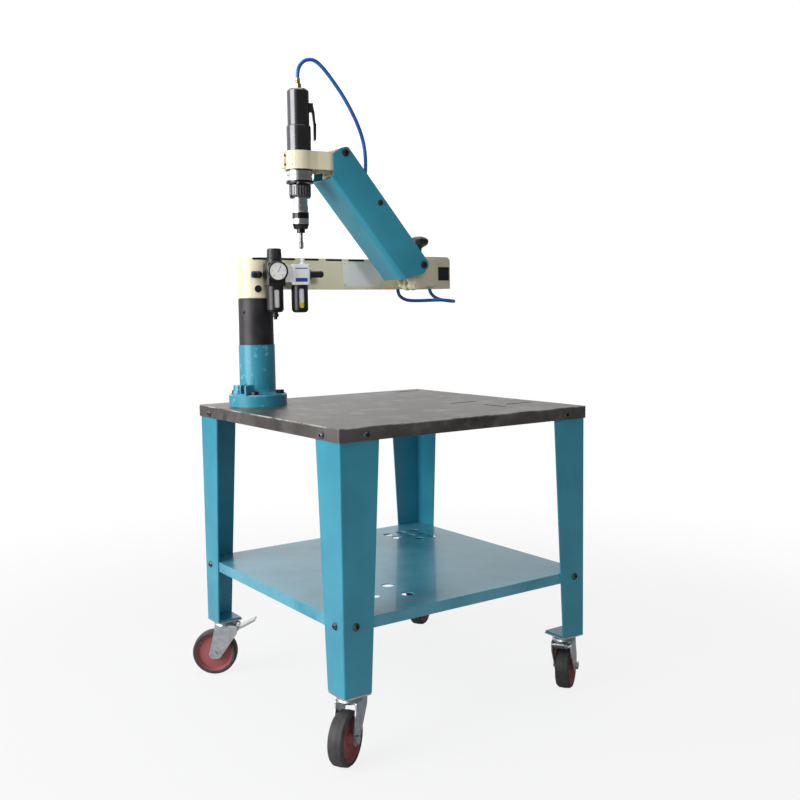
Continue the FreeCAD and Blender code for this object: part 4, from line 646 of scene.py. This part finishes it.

# %% [markdown]
# ## Air hoses
# Both hoses are soft polyurethane tube held at two ends. A smooth curve through a few
# control points gives the fall of the tube. Each hose crosses a joint, and it is turned into
# one mesh that takes the place of the CAD part of the same name, which it hides.

# %% Hose finish
HOSE_RADIUS = 0.004
hose_blue = grained("blue_hose", (0.012, 0.170, 0.620), (0.008, 0.120, 0.480), 0.05,
                    (0.18, 0.28), 0.0030, 0.01)
set_shader(hose_blue, "Coat Weight", 0.4)
print("hose", round(2 * HOSE_RADIUS / MM), "mm across")

# %% Hose from control points
def spline_of(name, points, bevel):
    """NURBS curve of order three whose control points are the given route."""
    data = bpy.data.curves.new(name, "CURVE")
    data.dimensions = "3D"
    data.resolution_u = 12
    data.bevel_depth = bevel
    data.bevel_resolution = 6
    data.use_fill_caps = True
    line = data.splines.new("NURBS")
    line.points.add(len(points) - 1)
    for control, place in zip(line.points, points):
        control.co = (place[0] * MM, place[1] * MM, place[2] * MM, 1)
    line.use_endpoint_u = True
    line.order_u = 3
    made = bpy.data.objects.new(name, data)
    bpy.context.collection.objects.link(made)
    bpy.context.view_layer.update()
    return made


def air_hose(name, points):
    """Tube along the route, as one mesh in place of the CAD part of the same name, which it
    hides.
    """
    line = spline_of(name + "_line", points, 0)
    path = [vertex.co.copy() for vertex in bpy.data.meshes.new_from_object(line).vertices]
    tube = spline_of(name + "_tube", points, HOSE_RADIUS)
    data = bpy.data.meshes.new_from_object(tube)
    bpy.data.objects.remove(line)
    bpy.data.objects.remove(tube)
    data.name = name
    data.materials.clear()
    data.materials.append(hose_blue)
    data.shade_smooth()
    made = bpy.data.objects.new(name, data)
    bpy.context.collection.objects.link(made)
    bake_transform(made)
    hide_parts(name.replace("_tube", ""))


# %% Motor hose
MOTOR_ROUTE = [(-169.5, 50, 1287.2), (-169, 50, 1302), (-163, 50, 1316), (-149.5, 50, 1328),
               (-128, 50, 1330), (-107, 50, 1315), (-83, 50, 1290), (-57, 50, 1259.5),
               (-31, 50, 1219), (-14, 50, 1181), (-8, 50, 1146), (-8.5, 50, 1113),
               (-13, 50, 1088), (-19, 50, 1066)]
air_hose("arm_hose_tube", MOTOR_ROUTE)

# %% [markdown]
# ## Hose nut
# A small bright nut holds the hose on the motor's brass fitting. It is a lathed ring that
# stands on the fitting and laps a little over the hose, so its height is measured from the
# fitting's top to the hose's first point.

# %% Hose nut
NUT_BORE, NUT_RADIUS, NUT_NECK = 0.0041, 0.0056, 0.0049
NUT_LAP, NUT_CHAMFER = 0.0012, 0.0008
hose_start = Vector(MOTOR_ROUTE[0]) * MM
fitting_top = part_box("motor_fitting")[1].z
nut_tall = hose_start.z - fitting_top + NUT_LAP
nut = [(NUT_BORE, 0), (NUT_RADIUS, 0), (NUT_RADIUS, nut_tall - NUT_CHAMFER),
       (NUT_NECK, nut_tall), (NUT_BORE, nut_tall), (NUT_BORE, 0)]
spot = Matrix.Translation((hose_start.x, hose_start.y, fitting_top))
piece("motor_hose_nut", lathe(nut, spot, 36), bright, "head", smooth=True)
print("hose nut", round(nut_tall / MM, 1), "mm tall")

# %% [markdown]
# ## Elbow hose
# The second hose hangs in a loop below the elbow, from the beam's underside to the
# knuckle's. Its slack lets the arm swing. The same helper makes it, from its own route.

# %% Elbow hose
ELBOW_ROUTE = [(170, 195, 873), (170.5, 194, 861), (174, 192, 848.5), (187, 183, 839),
               (206, 170, 837.5), (228, 155, 838), (251, 138, 839), (277, 128, 837),
               (299, 137, 835), (302, 160, 836), (289, 177, 839), (273, 186, 846),
               (263, 192, 860), (262.5, 192.5, 873)]
air_hose("loop_hose_tube", ELBOW_ROUTE)

# %% [markdown]
# ## Camera
# The camera stands in front and to the left, a little above the worktop, and looks down
# by five degrees. Its lens is worked out for an 800 by 800 frame.

# %% Camera
FRAME_PIXELS, LENS_PIXELS, SENSOR_MM = 800, 973.09, 36
CAMERA_PLACE = Vector((-1.16106, -1.73147, 0.81742))
CAMERA_YAW, CAMERA_PITCH, CAMERA_ROLL = 34.70, -5.316, -0.835
NEAREST = 0.05


def looking(place, yaw, pitch, roll):
    """Camera matrix from a place and three angles in degrees."""
    y, p, r = (math.radians(a) for a in (yaw, pitch, roll))
    ahead = Vector((math.sin(y) * math.cos(p), math.cos(y) * math.cos(p), math.sin(p)))
    level_right = ahead.cross(Vector((0, 0, 1))).normalized()
    level_up = level_right.cross(ahead)
    right = level_right * math.cos(r) + level_up * math.sin(r)
    up = level_up * math.cos(r) - level_right * math.sin(r)
    return Matrix.Translation(place) @ Matrix((right, up, -ahead)).transposed().to_4x4()


lens = bpy.data.cameras.new("camera")
lens.sensor_width = SENSOR_MM
lens.lens = SENSOR_MM * LENS_PIXELS / FRAME_PIXELS
lens.clip_start = NEAREST
camera = bpy.data.objects.new("camera", lens)
camera.matrix_world = looking(CAMERA_PLACE, CAMERA_YAW, CAMERA_PITCH, CAMERA_ROLL)
bpy.context.collection.objects.link(camera)
bpy.context.scene.camera = camera
bpy.context.scene.view_settings.view_transform = "Standard"
print("lens", round(lens.lens, 2), "mm")

# %% [markdown]
# ## Floor
# A wide pale floor keeps the object's shadow, and grows plain white further out, so that no
# horizon shows. The white is a glow that only the camera sees, so it lights nothing.

# %% Floor
FLOOR_SIZE = 60
GLOW_NEAR, GLOW_GAIN = 0.85, 0.15
GLOW_FROM, GLOW_FULL = 0.7, 2.2
bpy.ops.mesh.primitive_plane_add(size=FLOOR_SIZE, location=(0, 0, 0))
floor = bpy.context.object
floor.name = "floor"
pale = bpy.data.materials.new("pale_floor")
pale.use_nodes = True
tree = pale.node_tree
shader = tree.nodes["Principled BSDF"]
shader.inputs["Base Color"].default_value = (0.62, 0.62, 0.62, 1)
shader.inputs["Roughness"].default_value = 0.9
glow = tree.nodes.new("ShaderNodeEmission")
glow.inputs["Strength"].default_value = 1.0
rays = tree.nodes.new("ShaderNodeLightPath")
far_off = ramp(tree, measure_of(tree, "LENGTH", object_place(tree)), GLOW_FROM, GLOW_FULL)
share = number_of(tree, "ADD", number_of(tree, "MULTIPLY", far_off, GLOW_GAIN), GLOW_NEAR)
seen_share = number_of(tree, "MULTIPLY", share, rays.outputs["Is Camera Ray"])
blend_in = tree.nodes.new("ShaderNodeMixShader")
tree.links.new(seen_share, blend_in.inputs["Fac"])
tree.links.new(shader.outputs["BSDF"], blend_in.inputs[1])
tree.links.new(glow.outputs["Emission"], blend_in.inputs[2])
tree.links.new(blend_in.outputs["Shader"], tree.nodes["Material Output"].inputs["Surface"])
floor.data.materials.append(pale)
print("floor glow:", GLOW_NEAR, "under the bench,", GLOW_NEAR + GLOW_GAIN, "further out")

# %% [markdown]
# ## World
# The camera sees a plain white world, and the object is lit by a dim one. What a reflection
# sees is white behind and to the left, and dimmer to the front and right, so that turned
# metal has a light side and a dark side. Light Path tells these rays apart.

# %% World
DAYLIGHT, DAYLIGHT_STRENGTH = (0.95, 0.97, 1.0, 1), 0.24
WINDOW_WAY = (-0.6, 1.0, 0.1)
AWAY_FROM_WINDOW, AT_WINDOW = -0.45, 0.70
REFLECTED_DARK, REFLECTED_BRIGHT = 0.14, 1.3
world = bpy.data.worlds.new("white_room")
bpy.context.scene.world = world
world.use_nodes = True
tree = world.node_tree
dim = tree.nodes["Background"]
dim.inputs["Color"].default_value = DAYLIGHT
dim.inputs["Strength"].default_value = DAYLIGHT_STRENGTH
seen = tree.nodes.new("ShaderNodeBackground")
seen.inputs["Color"].default_value = (1, 1, 1, 1)
rays = tree.nodes.new("ShaderNodeLightPath")
ray_way = tree.nodes.new("ShaderNodeTexCoord").outputs["Generated"]
lit = tree.nodes.new("ShaderNodeMapRange")
lit.inputs["From Min"].default_value = AWAY_FROM_WINDOW
lit.inputs["From Max"].default_value = AT_WINDOW
lit.inputs["To Min"].default_value = REFLECTED_DARK
lit.inputs["To Max"].default_value = REFLECTED_BRIGHT
tree.links.new(measure_of(tree, "DOT_PRODUCT", ray_way, WINDOW_WAY), lit.inputs["Value"])
straight = number_of(tree, "MAXIMUM", rays.outputs["Is Camera Ray"],
                     rays.outputs["Is Transmission Ray"])
strength = number_of(tree, "MAXIMUM", straight, lit.outputs["Result"])
tree.links.new(strength, seen.inputs["Strength"])
any_seen = number_of(tree, "MAXIMUM", straight, rays.outputs["Is Glossy Ray"])
room = tree.nodes.new("ShaderNodeMixShader")
tree.links.new(any_seen, room.inputs["Fac"])
tree.links.new(dim.outputs["Background"], room.inputs[1])
tree.links.new(seen.outputs["Background"], room.inputs[2])
tree.links.new(room.outputs["Shader"], tree.nodes["World Output"].inputs["Surface"])
print("world strength:", DAYLIGHT_STRENGTH)

# %% [markdown]
# ## Lamps
# A large soft lamp stands at the left, as in a workshop with one bright wall of windows, and
# a weaker one hangs above. A small fill at the front lifts the shadows, and a narrow spot
# lightens the beam, which is otherwise in shade. These two are hidden from reflections,
# because their pictures would stand in the polished motor.

# %% Lamps
SPOT_SOFTNESS = 0.15


def aimed(name, data, place, target):
    """Put a lamp at a place and turn it to a point."""
    made = bpy.data.objects.new(name, data)
    made.location = place
    made.rotation_euler = (Vector(target) - Vector(place)).to_track_quat("-Z", "Y").to_euler()
    bpy.context.collection.objects.link(made)
    print("lamp:", name, data.energy, "W")
    return made


def soft_lamp(name, place, target, power, size):
    """Square lamp aimed at a point."""
    data = bpy.data.lights.new(name, "AREA")
    data.energy = power
    data.size = size
    return aimed(name, data, place, target)


def spot_lamp(name, place, target, power, cone):
    """Lamp with a narrow cone, in degrees, and a soft edge."""
    data = bpy.data.lights.new(name, "SPOT")
    data.energy = power
    data.spot_size = math.radians(cone)
    data.spot_blend = 1.0
    data.shadow_soft_size = SPOT_SOFTNESS
    return aimed(name, data, place, target)


soft_lamp("window", (-3.0, 0.1, 1.6), (0, 0, 0.75), 97, 2.4)
fill_lamp = soft_lamp("fill", (-0.9, -2.0, 1.7), (0, 0.2, 0.95), 4.5, 1.0)
beam_lamp = spot_lamp("beam_spot", (-0.6, -1.6, 1.3), (-0.06, 0.165, 0.90), 52, 11)
soft_lamp("ceiling", (0.0, 0.3, 3.2), (0, 0, 0.6), 20, 1.8)
for lamp in (fill_lamp, beam_lamp):
    lamp.visible_glossy = False
